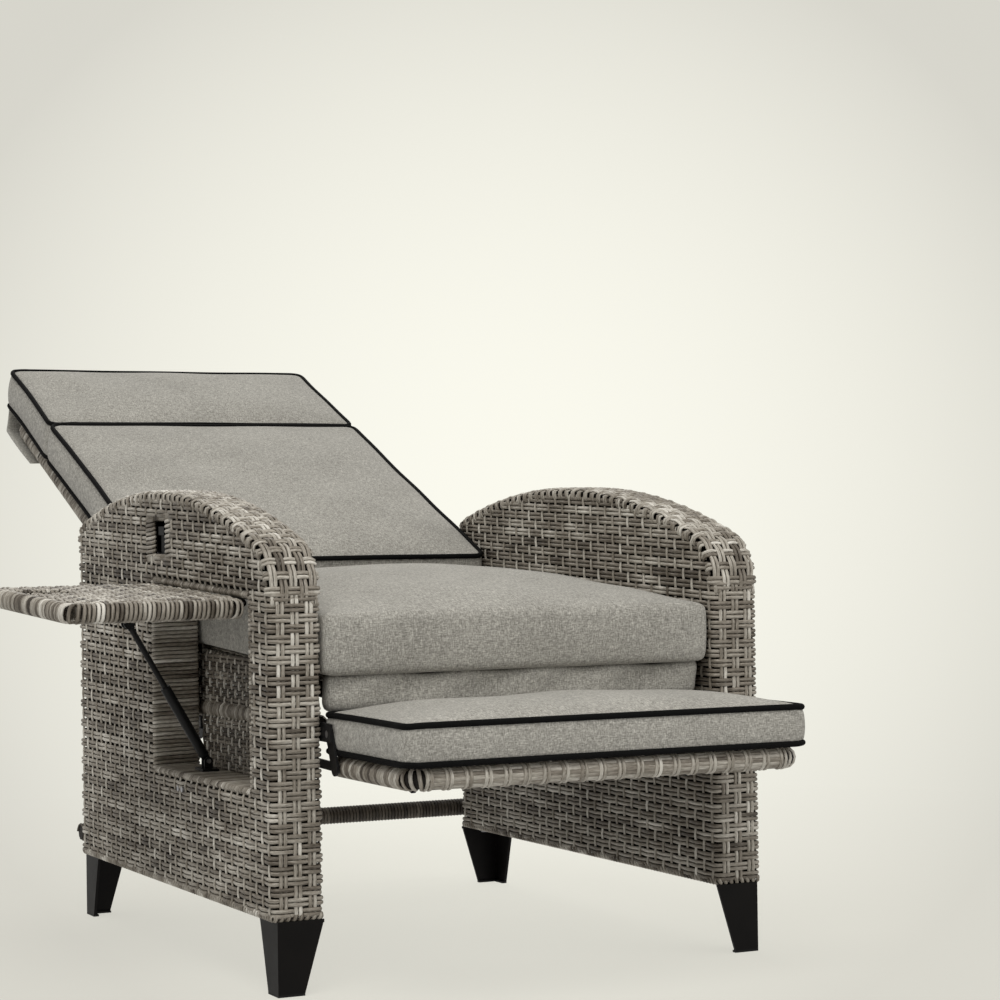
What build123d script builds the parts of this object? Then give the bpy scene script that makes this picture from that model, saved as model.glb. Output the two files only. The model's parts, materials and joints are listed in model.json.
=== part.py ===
from build123d import *
import os
from math import atan2, cos, degrees, hypot, radians, sin, sqrt, tan

# A woven garden recliner: two arched arm panels on tapered angle legs, a fixed seat, a back that
# reclines, a footrest that swings up with it, and a flip-up table in the sitter's right arm.
# Millimetres. Origin: the floor, midway between the four legs. +Z up, the sitter faces -Y,
# and the sitter's right arm, with the table, is at -X. The chair is drawn reclined.

# ---------------------------------------------------------------- driving dimensions
overall_width = 712
overall_depth = 820
arm_thickness = 69
arm_overhang = 6  # how far an arm's outer side stands out past its legs
leg_height = 94
skin = 4  # wall of the woven shells
weave = 5  # thickness of a single woven panel
gap = 0.5  # working gap between pieces of one body

arm_x = overall_width / 2
leg_x = arm_x - arm_overhang
arm_inner_x = arm_x - arm_thickness
arm_front = -overall_depth / 2
arm_rear = overall_depth / 2
arch_top = 642
arch_apex_y = 60
arch_radius = 1300
nose_radius = 75
heel_radius = 30  # the arch's rear end

tube_r = 12.5
wrapped_r = 14
plate = 4  # linkage plates
pin_r = 5
fit = 0.05  # running clearance, radial

# round stretcher across the back of both arms
stretcher_y = arm_rear + wrapped_r + 0.5
stretcher_z = 124

# opening for the table in the right arm, seen from the side
opening_front = -330
opening_rear = 52
opening_sill = 255
opening_head = 496
head_rise = 2.35  # degrees: the opening's top edge and the table hinge rise towards the back
slot_front, slot_rear = -2, 50
slot_bottom, slot_top = 552, 600

# seat
seat_tilt = 3  # degrees, back edge higher
deck_front, deck_rear = -372, 205
deck_front_z = 396
deck_half = 262
seat_half = 281
seat_front, seat_rear = -405, 207
seat_thickness = 88
rail_z = 333
rail_x = 268
rail_front, rail_rear = -352, 262

# backrest, drawn in its own frame: origin on the recline axis, Y up the back, Z out of its face
recline_y, recline_z = 380, 415
recline_angle = 23  # degrees from horizontal, fully reclined
recline_travel = 51
back_face = 155
back_pad = 70
back_bottom = -37
head_seam = 555
back_top = 830
back_half = 279
back_tube_x = 256
back_tube_z = 59

# footrest
foot_y, foot_z = -423, 327
foot_travel = 90
foot_front, foot_rear = -652, -398
foot_top = 353
foot_pad = 52
foot_half = 279
foot_tube_x = 264
foot_bend = 18
foot_tube_z = 285

# drive links: a crank on the backrest pushes a rocker on the footrest
crank = 150
rocker = crank * sin(radians(recline_travel / 2)) / sin(radians(foot_travel / 2))
lever_x = 195  # inner face of the crank and rocker levers
link_x = lever_x + plate + 1
plate_x = 276  # inner face of the back's hinge plates
foot_plate_x = 280.2  # and of the footrest's, which are thinner
foot_plate = 2.6

# gas spring
gas_x = 120
gas_anchor_y, gas_anchor_z = -140, 318
gas_crank = 60

# table
table_length = opening_rear - opening_front
table_thickness = 25
hinge_inset = 6.5
strut_along = 255  # from the opening's front edge
bracket_out, bracket_down = 76, 45
strut_tube_end = 120  # from the foot pivot


# ---------------------------------------------------------------- small helpers
def side_face(points):
    """Closed polygon in the YZ plane."""
    return make_face(Polyline(*points, close=True))


def slab_yz(face, x0, x1):
    """A YZ face made solid from x0 to x1."""
    return extrude(Plane.YZ.offset(x0) * face, amount=x1 - x0)


def block(x0, x1, y0, y1, z0, z1):
    return Pos((x0 + x1) / 2, (y0 + y1) / 2, (z0 + z1) / 2) * Box(x1 - x0, y1 - y0, z1 - z0)


def rod(start, end, radius):
    """A round bar between two points."""
    a, b = Vector(*start), Vector(*end)
    return Plane(a, z_dir=b - a) * Cylinder(
        radius, (b - a).length, align=(Align.CENTER, Align.CENTER, Align.MIN)
    )


def x_rod(x0, x1, y, z, radius):
    return rod((min(x0, x1), y, z), (max(x0, x1), y, z), radius)


def rounded(x0, x1, y0, y1, z0, z1, radius):
    """A block with rounded edges, for a cushion."""
    solid = block(x0, x1, y0, y1, z0, z1)
    return fillet(solid.edges(), radius)


def loop_tube(x0, x1, y0, y1, z, radius, bend):
    """A closed round-cornered tube loop lying in a plane of constant z."""
    outline = RectangleRounded(x1 - x0, y1 - y0, bend).face()
    path = (Pos((x0 + x1) / 2, (y0 + y1) / 2, z) * outline).outer_wire()
    start = path @ 0
    return sweep(Plane(start, z_dir=path % 0) * Circle(radius), path=path)


def panel_in_loop(half, y0, y1, z, thickness, corner):
    """A flat woven panel that fills a tube loop."""
    outline = RectangleRounded(2 * half, y1 - y0, corner)
    return Pos(0, (y0 + y1) / 2, z) * extrude(outline, amount=thickness)


def link_plate(points, radius):
    """A flat plate outline: the hull of equal discs at the points, in the YZ plane."""
    outline = None
    for (y0, z0), (y1, z1) in zip(points, points[1:]):
        length = hypot(y1 - y0, z1 - z0)
        turn = degrees(atan2(z1 - z0, y1 - y0))
        leg = Pos((y0 + y1) / 2, (z0 + z1) / 2) * Rot(0, 0, turn) * SlotCenterToCenter(length, 2 * radius)
        outline = leg if outline is None else outline + leg
    return outline


def save(name, *solids):
    shapes = [s for part in solids for s in part.solids()]
    for shape in shapes:
        shape.label = name
    whole = shapes[0] if len(shapes) == 1 else Compound(children=shapes)
    whole.label = name
    export_step(whole, f"parts/{name}.step")


def both_sides(name, solid):
    """Two nodes. The solid is drawn on the +X side, the sitter's left."""
    save(f"{name}_left", solid)
    save(f"{name}_right", mirror(solid, Plane.YZ))


def pair(name, solid):
    """One node with the solid and its mirror image."""
    save(name, solid, mirror(solid, Plane.YZ))


# ---------------------------------------------------------------- arms
def arm_outline(inset):
    """The arm panel seen from the side, shrunk by inset all round."""
    arch_z = arch_top - arch_radius
    front, rear, bottom = arm_front + inset, arm_rear - inset, leg_height + inset

    def round_end(y, radius):
        """Centre of the round that joins the arch to an upright edge, and its angle on the arch."""
        z = arch_z + sqrt((arch_radius - radius) ** 2 - (y - arch_apex_y) ** 2)
        return y, z, atan2(z - arch_z, y - arch_apex_y)

    def on_round(y, z, radius, angle):
        return y + (radius - inset) * cos(angle), z + (radius - inset) * sin(angle)

    nose_y, nose_z, nose_turn = round_end(arm_front + nose_radius, nose_radius)
    heel_y, heel_z, heel_turn = round_end(arm_rear - heel_radius, heel_radius)
    nose_top = on_round(nose_y, nose_z, nose_radius, nose_turn)
    heel_top = on_round(heel_y, heel_z, heel_radius, heel_turn)
    nose_mid = on_round(nose_y, nose_z, nose_radius, (nose_turn + radians(180)) / 2)
    heel_mid = on_round(heel_y, heel_z, heel_radius, heel_turn / 2)
    edges = [
        Line((front, bottom), (rear, bottom)),
        Line((rear, bottom), (rear, heel_z)),
        ThreePointArc((rear, heel_z), heel_mid, heel_top),
        ThreePointArc(heel_top, (arch_apex_y, arch_top - inset), nose_top),
        ThreePointArc(nose_top, nose_mid, (front, nose_z)),
        Line((front, nose_z), (front, bottom)),
    ]
    return make_face(Wire(edges))


def table_opening(grow):
    head_rear = opening_head + table_length * tan(radians(head_rise))
    return side_face(
        [
            (opening_front - grow, opening_sill - grow),
            (opening_rear + grow, opening_sill - grow),
            (opening_rear + grow, head_rear + grow),
            (opening_front - grow, opening_head + grow),
        ]
    )


def slot_opening(grow):
    return Pos((slot_front + slot_rear) / 2, (slot_bottom + slot_top) / 2) * Rectangle(
        slot_rear - slot_front + 2 * grow, slot_top - slot_bottom + 2 * grow
    )


def arm_pins(radius):
    """Clearance holes in the arm's inner wall for the recline pin."""
    return x_rod(arm_inner_x - 1, arm_inner_x + skin + 30, recline_y, recline_z, radius)


def make_arms():
    outside = slab_yz(arm_outline(0), arm_inner_x, arm_x)
    inside = slab_yz(arm_outline(skin), arm_inner_x + skin, arm_x - skin)
    left_skin = outside - inside - arm_pins(pin_r + fit)
    save("arm_weave_left", left_skin)

    # the right arm has the table opening all the way through and the release slot in its outer wall
    window = slab_yz(table_opening(0), arm_inner_x - 1, arm_x + 1)
    reveal = slab_yz(table_opening(skin), arm_inner_x, arm_x)
    slot = slab_yz(slot_opening(0), arm_x - skin - 1, arm_x + 1)
    right_skin = outside - (inside - reveal) - window - slot - arm_pins(pin_r + fit)
    save("arm_weave_right", mirror(right_skin, Plane.YZ))

    bar = 18
    depth = 20
    x0 = arm_x - arm_thickness / 2 - depth / 2
    edge = skin + gap
    ring = arm_outline(edge) - arm_outline(edge + bar)
    pin_pad = Pos(recline_y, recline_z) * Rectangle(36, 46)
    inner = arm_outline(edge + 1)
    plain = ring + (inner & (Pos(0, 372) * Rectangle(overall_depth, bar)))
    plain = plain + (inner & pin_pad)
    pin_hole = arm_pins(pin_r)
    save("arm_frame_left", slab_yz(plain, x0, x0 + depth) - pin_hole)

    around = table_opening(edge + bar) - table_opening(edge)
    posts = Pos(opening_front - edge - bar / 2, 0) * Rectangle(bar, 3 * arch_top)
    posts += Pos(opening_rear + edge + bar / 2, 0) * Rectangle(bar, 3 * arch_top)
    framed = ring + (inner & (around + posts)) + (inner & pin_pad)
    framed = framed - table_opening(edge)
    save("arm_frame_right", mirror(slab_yz(framed, x0, x0 + depth) - pin_hole, Plane.YZ))


# ---------------------------------------------------------------- legs
leg_top_width = 63
leg_foot_width = 36
leg_plate = 4
glide = 3


def leg():
    """Folded tapered angle, drawn with its outer corner on the Z axis, flanges along +X and +Y."""
    side = make_face(
        Polyline((0, glide), (leg_foot_width, glide), (leg_top_width, leg_height), (0, leg_height), close=True)
    )
    along_x = extrude(Plane.XZ * side, amount=-leg_plate)
    along_y = slab_yz(side, 0, leg_plate)
    corner = make_face(Polyline((0, 0), (leg_top_width, 0), (0, leg_top_width), close=True))
    cap = Pos(0, 0, leg_height - leg_plate) * extrude(corner, amount=leg_plate)
    return along_x + along_y + cap


def leg_glide():
    pad = block(0, leg_foot_width, 0, leg_plate + 4, 0, glide)
    return pad + block(0, leg_plate + 4, 0, leg_foot_width, 0, glide)


def at_corner(solid, side, end):
    """Place a corner piece drawn at the origin: side and end are -1 or +1."""
    if side > 0:
        solid = mirror(solid, Plane.YZ)
    if end > 0:
        solid = mirror(solid, Plane.XZ)
    return Pos(side * leg_x, end * overall_depth / 2, 0) * solid


def make_legs():
    """Legs, their glides, and the bolts of the legs and the stretcher."""
    glides, bolts = [], []
    bolt = Pos(32, 22, leg_height - leg_plate) * (
        Pos(0, 0, -5) * Cylinder(6, 5, align=(Align.CENTER, Align.CENTER, Align.MIN))
    )
    for end, end_name in ((-1, "front"), (1, "rear")):
        for side, side_name in ((1, "left"), (-1, "right")):
            save(f"leg_{end_name}_{side_name}", at_corner(leg(), side, end))
            glides.append(at_corner(leg_glide(), side, end))
            bolts.append(at_corner(bolt, side, end))
    save("leg_glides", *glides)
    y = stretcher_y + wrapped_r
    for x in (-arm_x + arm_thickness / 2, arm_x - arm_thickness / 2):
        bolts.append(rod((x, y + 0.1, stretcher_z), (x, y + 5, stretcher_z), 7))
    # two rivets of the strut's foot show on the right arm's outer face, under the sill
    for y in (-71, -55):
        bolts.append(rod((-arm_x - 2.5, y, opening_sill - 23), (-arm_x, y, opening_sill - 23), 4))
    save("frame_bolts", *bolts)


# ---------------------------------------------------------------- fixed seat
def deck_z(y):
    """Height of the deck's upper face."""
    return deck_front_z + (y - deck_front) * tan(radians(seat_tilt))


def make_seat():
    deck = side_face(
        [
            (deck_front, deck_z(deck_front) - 8),
            (deck_rear, deck_z(deck_rear) - 8),
            (deck_rear, deck_z(deck_rear)),
            (deck_front, deck_z(deck_front)),
        ]
    )
    save("seat_deck", slab_yz(deck, -deck_half, deck_half))

    drop = 8 + gap + tube_r
    front = (deck_front + 20, deck_z(deck_front + 20) - drop)
    rear = (deck_rear - 15, deck_z(deck_rear - 15) - drop)
    bar_x = 246
    frame = x_rod(-bar_x, bar_x, *front, tube_r) + x_rod(-bar_x, bar_x, *rear, tube_r)
    for x in (-bar_x, 0, bar_x):
        frame += rod((x, *front), (x, *rear), tube_r)
    for x in (-bar_x, bar_x):
        for y, z in (front, rear):
            frame += Pos(x, y, z) * Sphere(tube_r)
    save("seat_frame", frame)

    rail = rod((rail_x, rail_front, rail_z), (rail_x, rail_rear, rail_z), wrapped_r)
    both_sides("seat_rail", rail)
    skirt_x = 269
    bay_panel_x = 273.5
    skirt = side_face(
        [
            (deck_front + 12, rail_z + wrapped_r + gap),
            (deck_rear, rail_z + wrapped_r + gap),
            (deck_rear, deck_z(deck_rear) - 2),
            (deck_front + 12, deck_z(deck_front + 12) - 2),
        ]
    )
    upper = slab_yz(skirt, skirt_x, skirt_x + 7)
    save("seat_skirt_left", upper)
    # below the rail, a second woven panel closes the inner side of the table's bay
    lower_top = rail_z - wrapped_r - 2 * gap - 3
    lower = block(-bay_panel_x - 6, -bay_panel_x, opening_front - 10, opening_rear + 10, opening_sill - 20, lower_top)
    save("seat_skirt_right", mirror(upper, Plane.YZ), lower)
    # angle brackets hang the wrapped rails on the arm panels, and posts carry the deck frame on the rails
    brackets, posts = [], []
    for y in (-290, 140):
        under = rail_z - wrapped_r - gap
        bracket = block(252, arm_inner_x, y - 14, y + 14, under - 3, under)
        bracket += block(arm_inner_x - plate, arm_inner_x, y - 14, y + 14, under - 3, under + 50)
        post = block(250, 261, y - 12, y + 12, rail_z, deck_z(y) - drop)
        post -= rod((rail_x, y - 50, rail_z), (rail_x, y + 50, rail_z), wrapped_r)
        post -= rod((bar_x, *front), (bar_x, *rear), tube_r)
        for solids, one in ((brackets, bracket), (posts, post)):
            solids += [one, mirror(one, Plane.YZ)]
    save("seat_brackets", *brackets)
    save("seat_posts", *posts)

    cushion = rounded(-seat_half, seat_half, 0, seat_rear - seat_front, 0, seat_thickness, 16)
    lift = deck_z(seat_front) + 3
    save("seat_cushion", Pos(0, seat_front, lift) * Rot(seat_tilt, 0, 0) * cushion)
    save("apron_pad", rounded(-262, 262, -398, deck_front - 1, foot_top + 5.5, deck_z(seat_front) - 1, 8))


# ---------------------------------------------------------------- backrest
back_place = Pos(0, recline_y, recline_z) * Rot(recline_angle, 0, 0)


def crank_end():
    lean = radians(recline_travel / 2)
    return recline_y - crank * sin(lean), recline_z - crank * cos(lean)


def in_back_frame(y, z):
    """A YZ point of the chair given in the backrest's own frame."""
    c, s = cos(radians(recline_angle)), sin(radians(recline_angle))
    dy, dz = y - recline_y, z - recline_z
    return dy * c + dz * s, -dy * s + dz * c


def make_backrest():
    low, high = -18, back_top - 34
    frame = loop_tube(-back_tube_x, back_tube_x, low, high, back_tube_z, wrapped_r, 40)
    for y in (250, 500):
        frame += x_rod(-back_tube_x, back_tube_x, y, back_tube_z, 10)
    save("backrest_frame", back_place * frame)

    # the woven panel lies on the tubes, drawn in a little from their centre lines
    lap = 4
    weave_z = back_tube_z + wrapped_r + gap
    panel = panel_in_loop(back_tube_x - lap, low + lap, high - lap, weave_z, weave, 40 - lap)
    save("backrest_weave", back_place * panel)

    outline = link_plate([(70, 60), (0, 0)], 15)
    hinge_plate = slab_yz(outline, plate_x, plate_x + plate)
    hinge_plate -= x_rod(plate_x - 1, plate_x + plate + 1, 0, 0, pin_r + fit)
    spacer = x_rod(back_tube_x, plate_x, 60, back_tube_z - 6, 8)
    tube_clear = rod((back_tube_x, -100, back_tube_z), (back_tube_x, 900, back_tube_z), wrapped_r)
    hinge_plate += spacer - tube_clear
    both_sides("backrest_hinge_plate", back_place * hinge_plate)

    face, rear = back_face, back_face - back_pad
    cushion = rounded(-back_half, back_half, back_bottom, head_seam - 1, rear, face, 15)
    save("back_cushion", back_place * cushion)
    head = rounded(-back_half, back_half, head_seam + 1, back_top, rear, face, 15)
    save("head_cushion", back_place * head)
    # the head cushion's hood slips over the top of the frame
    hood_back = back_tube_z - wrapped_r - 2
    hood = block(-back_half + 2, back_half - 2, back_top - 175, back_top - 8, hood_back - 5, hood_back)
    hood += block(-back_half + 2, back_half - 2, back_top - 15, back_top - 8, hood_back - 5, rear - gap)
    save("head_hood", back_place * hood)

    # levers hung from the frame's lower cross tube: one for the gas spring, and the two cranks
    crank_tip = in_back_frame(*crank_end())
    one_crank = slab_yz(link_plate([(low, back_tube_z - 4), crank_tip], 12), lever_x, lever_x + plate)
    one_crank -= x_rod(lever_x - 1, lever_x + plate + 1, low, back_tube_z, wrapped_r)
    one_crank -= x_rod(lever_x - 1, lever_x + plate + 1, *crank_tip, 4)
    pair("recline_cranks", back_place * one_crank)
    lean = radians(recline_travel / 2)
    gas_end = in_back_frame(recline_y - gas_crank * sin(lean), recline_z - gas_crank * cos(lean))
    lever = slab_yz(link_plate([(low, back_tube_z - 4), gas_end], 12), gas_x - 3, gas_x + 3)
    lever -= x_rod(gas_x - 9, gas_x + 9, low, back_tube_z, wrapped_r)
    lever += x_rod(gas_x + 3, gas_x + 7, *gas_end, 8)
    save("gas_spring_lever", back_place * lever)


def make_recline_brackets():
    bracket = slab_yz(Pos(recline_y - 6, recline_z) * Rectangle(52, 60), arm_inner_x - 5, arm_inner_x)
    bracket -= x_rod(plate_x, arm_inner_x + 1, recline_y, recline_z, pin_r)
    pair("recline_brackets", bracket)


def make_pivot_pins():
    """The back turns on headed pins, the footrest on flush ones."""
    back_pin = x_rod(plate_x - 6, plate_x - 0.3, recline_y, recline_z, 9)
    back_pin += x_rod(plate_x - 1, arm_inner_x + skin + 29, recline_y, recline_z, pin_r)
    foot_pin = x_rod(foot_plate_x, arm_inner_x - 1, foot_y, foot_z, pin_r)
    pins = [back_pin, foot_pin]
    save("pivot_pins", *pins, *[mirror(pin, Plane.YZ) for pin in pins])


# ---------------------------------------------------------------- footrest
def rocker_end():
    lean = radians(foot_travel / 2)
    return foot_y - rocker * sin(lean), foot_z - rocker * cos(lean)


def make_footrest():
    y0, y1 = foot_front + 16, foot_rear - 8
    frame = loop_tube(-foot_tube_x, foot_tube_x, y0, y1, foot_tube_z, wrapped_r, foot_bend)
    frame += rod((0, y0, foot_tube_z), (0, y1, foot_tube_z), 8)
    save("footrest_frame", frame)
    inner = foot_tube_x - wrapped_r - gap
    weave_z = foot_tube_z + 8 + gap
    panel = panel_in_loop(inner, y0 + wrapped_r + gap, y1 - wrapped_r - gap, weave_z, weave, foot_bend - wrapped_r)
    save("footrest_weave", panel)
    base = foot_top - foot_pad
    save("footrest_cushion", rounded(-foot_half, foot_half, foot_front, foot_rear, base, foot_top, 14))

    pivot = (foot_y, foot_z)
    stud_y = foot_y - 16
    plate_end = foot_plate_x + foot_plate
    hinge_plate = slab_yz(link_plate([pivot, (stud_y, foot_tube_z)], 10), foot_plate_x, plate_end)
    hinge_plate -= x_rod(foot_plate_x - 1, plate_end + 1, *pivot, pin_r + fit)
    stud = x_rod(foot_tube_x, foot_plate_x, stud_y, foot_tube_z, 7)
    tube = rod((foot_tube_x, -900, foot_tube_z), (foot_tube_x, 0, foot_tube_z), wrapped_r)
    both_sides("footrest_hinge_plate", hinge_plate + (stud - tube))
    lever = slab_yz(link_plate([(y1, foot_tube_z - 4), rocker_end()], 9), lever_x, lever_x + plate)
    lever -= x_rod(lever_x - 1, lever_x + plate + 1, y1, foot_tube_z, wrapped_r)
    pair("footrest_rockers", lever)

    mount = slab_yz(
        side_face(
            [
                (foot_y - 14, foot_z - 10),
                (foot_y - 14, foot_z + 13),
                (rail_front + 30, foot_z + 16),
                (rail_front + 30, foot_z - 10),
            ]
        ),
        plate_end + gap,
        arm_inner_x - gap,
    )
    mount -= x_rod(rail_x, arm_x, *pivot, pin_r)
    pair("footrest_brackets", mount)


def make_links():
    rear, front = crank_end(), rocker_end()
    outline = link_plate([front, rear], 6)
    link = slab_yz(outline, link_x, link_x + plate)
    link -= x_rod(link_x - 1, link_x + plate + 1, *rear, 4 + fit)
    # the front end only lies beside the rocker: this is where the closed linkage is opened
    link += x_rod(link_x + plate, link_x + plate + 1.5, *front, 6)
    both_sides("drive_link", link)
    pin = x_rod(lever_x - 0.5, link_x + plate + 1.5, *rear, 4) + x_rod(lever_x - 3, lever_x - 0.3, *rear, 7)
    pair("link_pins", pin)


# ---------------------------------------------------------------- gas spring
def make_gas_spring():
    lean = radians(recline_travel / 2)
    tip = (recline_y - gas_crank * sin(lean), recline_z - gas_crank * cos(lean))
    anchor = (gas_anchor_y, gas_anchor_z)
    length = hypot(tip[0] - anchor[0], tip[1] - anchor[1])
    turn = degrees(atan2(tip[1] - anchor[1], tip[0] - anchor[0]))
    place = Pos(gas_x + 14, *anchor) * Rot(turn, 0, 0)
    barrel_from, barrel_to = 30, 330

    barrel = rod((0, barrel_from, 0), (0, barrel_to, 0), 11) - rod((0, barrel_from + 8, 0), (0, barrel_to, 0), 5.1)
    barrel += slab_yz(SlotCenterToCenter(2 * barrel_from + 2, 16), -4, 4) - rod((0, -99, 0), (0, -12, 0), 12)
    barrel -= x_rod(-9, 9, 0, 0, 4 + fit)
    save("gas_spring_tube", place * barrel)
    piston = rod((0, barrel_from + 150, 0), (0, length - 14, 0), 5)
    piston += slab_yz(Pos(length, 0) * Circle(11), -4, 4) + block(-4, 4, length - 24, length, -5, 5)
    save("gas_spring_rod", place * piston)

    bar_r = 10
    bar = (anchor[0] - 40, rail_z - wrapped_r - bar_r)
    cross = x_rod(-rail_x - 3, rail_x + 3, *bar, bar_r)
    ear_face = link_plate([bar, anchor], 9)
    for x0 in (gas_x + 14 - 8.5, gas_x + 14 + 4.5):
        cross += slab_yz(ear_face, x0, x0 + 4) - x_rod(0, 400, *anchor, 4)
    save("gas_spring_crossbar", cross)
    save("gas_spring_pin", x_rod(gas_x + 14 - 10, gas_x + 14 + 10, *anchor, 4))


# ---------------------------------------------------------------- flip table
table_place = Pos(-arm_x, opening_front, opening_head) * Rot(head_rise, 0, 0)
# inside this frame: X out of the arm is negative, Y runs back along the hinge, Z is up


def closed_corner(y, z):
    """A point of the closed leaf given as the open leaf has it: distance out, and along the hinge."""
    c, s = cos(radians(head_rise)), sin(radians(head_rise))
    dy, dz = y - opening_front, z - opening_head
    return dy * s - dz * c, dy * c + dz * s


def leaf_outline(inset):
    """The open leaf from above, shrunk by inset."""
    edge = 2 + inset
    head_rear = opening_head + table_length * tan(radians(head_rise))
    corners = [
        (opening_front + edge, opening_head - edge),
        (opening_front + edge, opening_sill + edge),
        (opening_rear - edge, opening_sill + edge),
        (opening_rear - edge, head_rear - edge),
    ]
    # swinging about an axis hinge_inset inside both faces moves the hinge edge inwards
    return make_face(
        Polyline(*[(2 * hinge_inset - closed_corner(y, z)[0], closed_corner(y, z)[1]) for y, z in corners], close=True)
    )


def finger_hole(grow):
    return Pos(2 * hinge_inset - 209, 236) * Rectangle(35 + 2 * grow, 60 + 2 * grow)


hinge_spots = (55, 325)
hinge_width = 48


def make_table():
    t = table_thickness
    a = hinge_inset
    body = Pos(0, 0, -gap) * extrude(leaf_outline(0) - finger_hole(0), amount=gap - t)
    rim = leaf_outline(36) - finger_hole(10)
    pocket = Pos(0, 0, -6) * extrude(rim, amount=-t)
    bar = Pos(0, 0, -6) * extrude(leaf_outline(14) - leaf_outline(28), amount=-14)
    room = leaf_outline(14 - gap) - leaf_outline(28 + gap)
    room = Pos(0, 0, gap - 6) * extrude(room, amount=-14 - 2 * gap)
    # the top corner beside the hinge is rounded about the hinge axis, so that it clears the arm
    corner = block(a, a + 9, -50, table_length + 50, -a, 1)
    corner -= rod((a, -60, -a), (a, table_length + 60, -a), a - gap)
    notches = corner
    for y in hinge_spots:
        y0, y1 = y - hinge_width / 2 - 1, y + hinge_width / 2 + 1
        notches += block(a - 1, a + 9, y0, y1, -t - 1, 1)
        notches += block(-44, a, y0, y1, -t - 1, -1.3)
    strap = block(-170, -20, strut_along - 20, strut_along + 20, -t, -t + 3)
    save("table_weave", table_place * (body - pocket - room - notches - strap))
    save("table_frame", table_place * bar)
    # bracket plate under the leaf that the strut's upper end works in
    ears = Part() + block(-150, -22, strut_along - 19.5, strut_along + 19.5, -t, -t + 2.5)
    for y0 in (strut_along - 7, strut_along + 4.5):
        ear = Plane.XZ.offset(-y0) * (
            Pos(-bracket_out, -bracket_down) * Circle(8)
            + Pos(-bracket_out, -(bracket_down + t) / 2) * Rectangle(16, bracket_down - t)
        )
        ears += extrude(ear, amount=-2.5)
    for y0, y1 in ((strut_along - 10, strut_along - 7), (strut_along + 7, strut_along + 10)):
        ears += rod((-bracket_out, y0, -bracket_down), (-bracket_out, y1, -bracket_down), 5)
    save("table_bracket", table_place * ears)


def make_table_hinges():
    a = hinge_inset
    r = 5
    fixed, moving, pins = [], [], []
    for y in hinge_spots:
        half = hinge_width / 2
        third = hinge_width / 3
        plate_fixed = block(a, 44, y - half, y + half, -1.9, -0.4)
        knuckle = rod((a, y - third / 2, -a), (a, y + third / 2, -a), r)
        web = block(a, a + r, y - third / 2, y + third / 2, -a, -0.4)
        clear = None
        for y0 in (y - half - 1, y + third / 2 - 0.3):
            cut = rod((a, y0, -a), (a, y0 + third + 1.3, -a), r + 0.3)
            clear = cut if clear is None else clear + cut
        leaf = plate_fixed + knuckle + web - clear
        fixed.append(leaf - rod((a, y - 60, -a), (a, y + 60, -a), 2))
        under = block(-40, a - 2, y - half, y + half, -23.5, -21.5)
        under += block(a - 4, a - 2, y - half, y + half, -23.5, -a)
        under -= rod((a, y - third / 2 - 0.3, -a), (a, y + third / 2 + 0.3, -a), r + 0.3)
        for y0 in (y - half, y + third / 2 + 0.3):
            under += rod((a, y0, -a), (a, y0 + third - 0.3, -a), r)
        moving.append(under - rod((a, y - 60, -a), (a, y + 60, -a), 2 + fit))
        pins.append(rod((a, y - half - 0.6, -a), (a, y + half + 0.6, -a), 2))
    save("table_hinge_fixed_leaves", *[table_place * s for s in fixed])
    save("table_hinge_moving_leaves", *[table_place * s for s in moving])
    save("table_hinge_pins", *[table_place * s for s in pins])


def strut_foot():
    """Foot pivot in the table's frame."""
    sill_depth = (opening_head - opening_sill) / cos(radians(head_rise)) + strut_along * tan(radians(head_rise))
    return 37, 14 - sill_depth


def make_strut():
    fx, fz = strut_foot()
    tip = (-bracket_out, -bracket_down)
    length = hypot(tip[0] - fx, tip[1] - fz)
    lean = degrees(atan2(fx - tip[0], tip[1] - fz))
    place = table_place * Pos(fx, strut_along, fz) * Rot(0, -lean, 0)
    tube = rod((0, 0, 9), (0, 0, strut_tube_end), 7) - rod((0, 0, 15), (0, 0, strut_tube_end + 1), 4.1)
    tongue = block(-5, 5, -3, 3, 0, 10) + rod((0, -3, 0), (0, 3, 0), 5)
    tube = tube + tongue - rod((0, -9, 0), (0, 9, 0), 3 + fit)
    save("strut_tube", place * tube)
    slider = rod((0, 0, strut_tube_end - 15), (0, 0, length - 8), 4)
    eye = 4.5
    slider += block(-eye, eye, -3, 3, length - 10, length) + rod((0, -3, length), (0, 3, length), eye)
    save("strut_rod", place * slider)

    foot = Part() + block(fx - 12, fx + 12, strut_along - 16, strut_along + 16, fz - 13, fz - 10)
    for y0 in (strut_along - 6.5, strut_along + 4):
        foot += block(fx - 6, fx + 6, y0, y0 + 2.5, fz - 11, fz)
        foot += rod((fx, y0, fz), (fx, y0 + 2.5, fz), 6)
    foot -= rod((fx, 0, fz), (fx, 400, fz), 3)
    save("strut_foot_bracket", table_place * foot)
    save("strut_foot_pin", table_place * rod((fx, strut_along - 9, fz), (fx, strut_along + 9, fz), 3))


def make_catch():
    """Spring catch on the sill that snaps under the closed leaf."""
    x = -arm_x + 31
    y = opening_front + 8
    base = block(x, x + 14, y, y + 40, opening_sill + gap, opening_sill + 3)
    base += block(x, x + 4, y + 4, y + 36, opening_sill + 3, opening_sill + 12)
    save("table_catch", base)


# ---------------------------------------------------------------- release paddle
paddle_pivot = (24, slot_bottom - 2)


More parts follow.
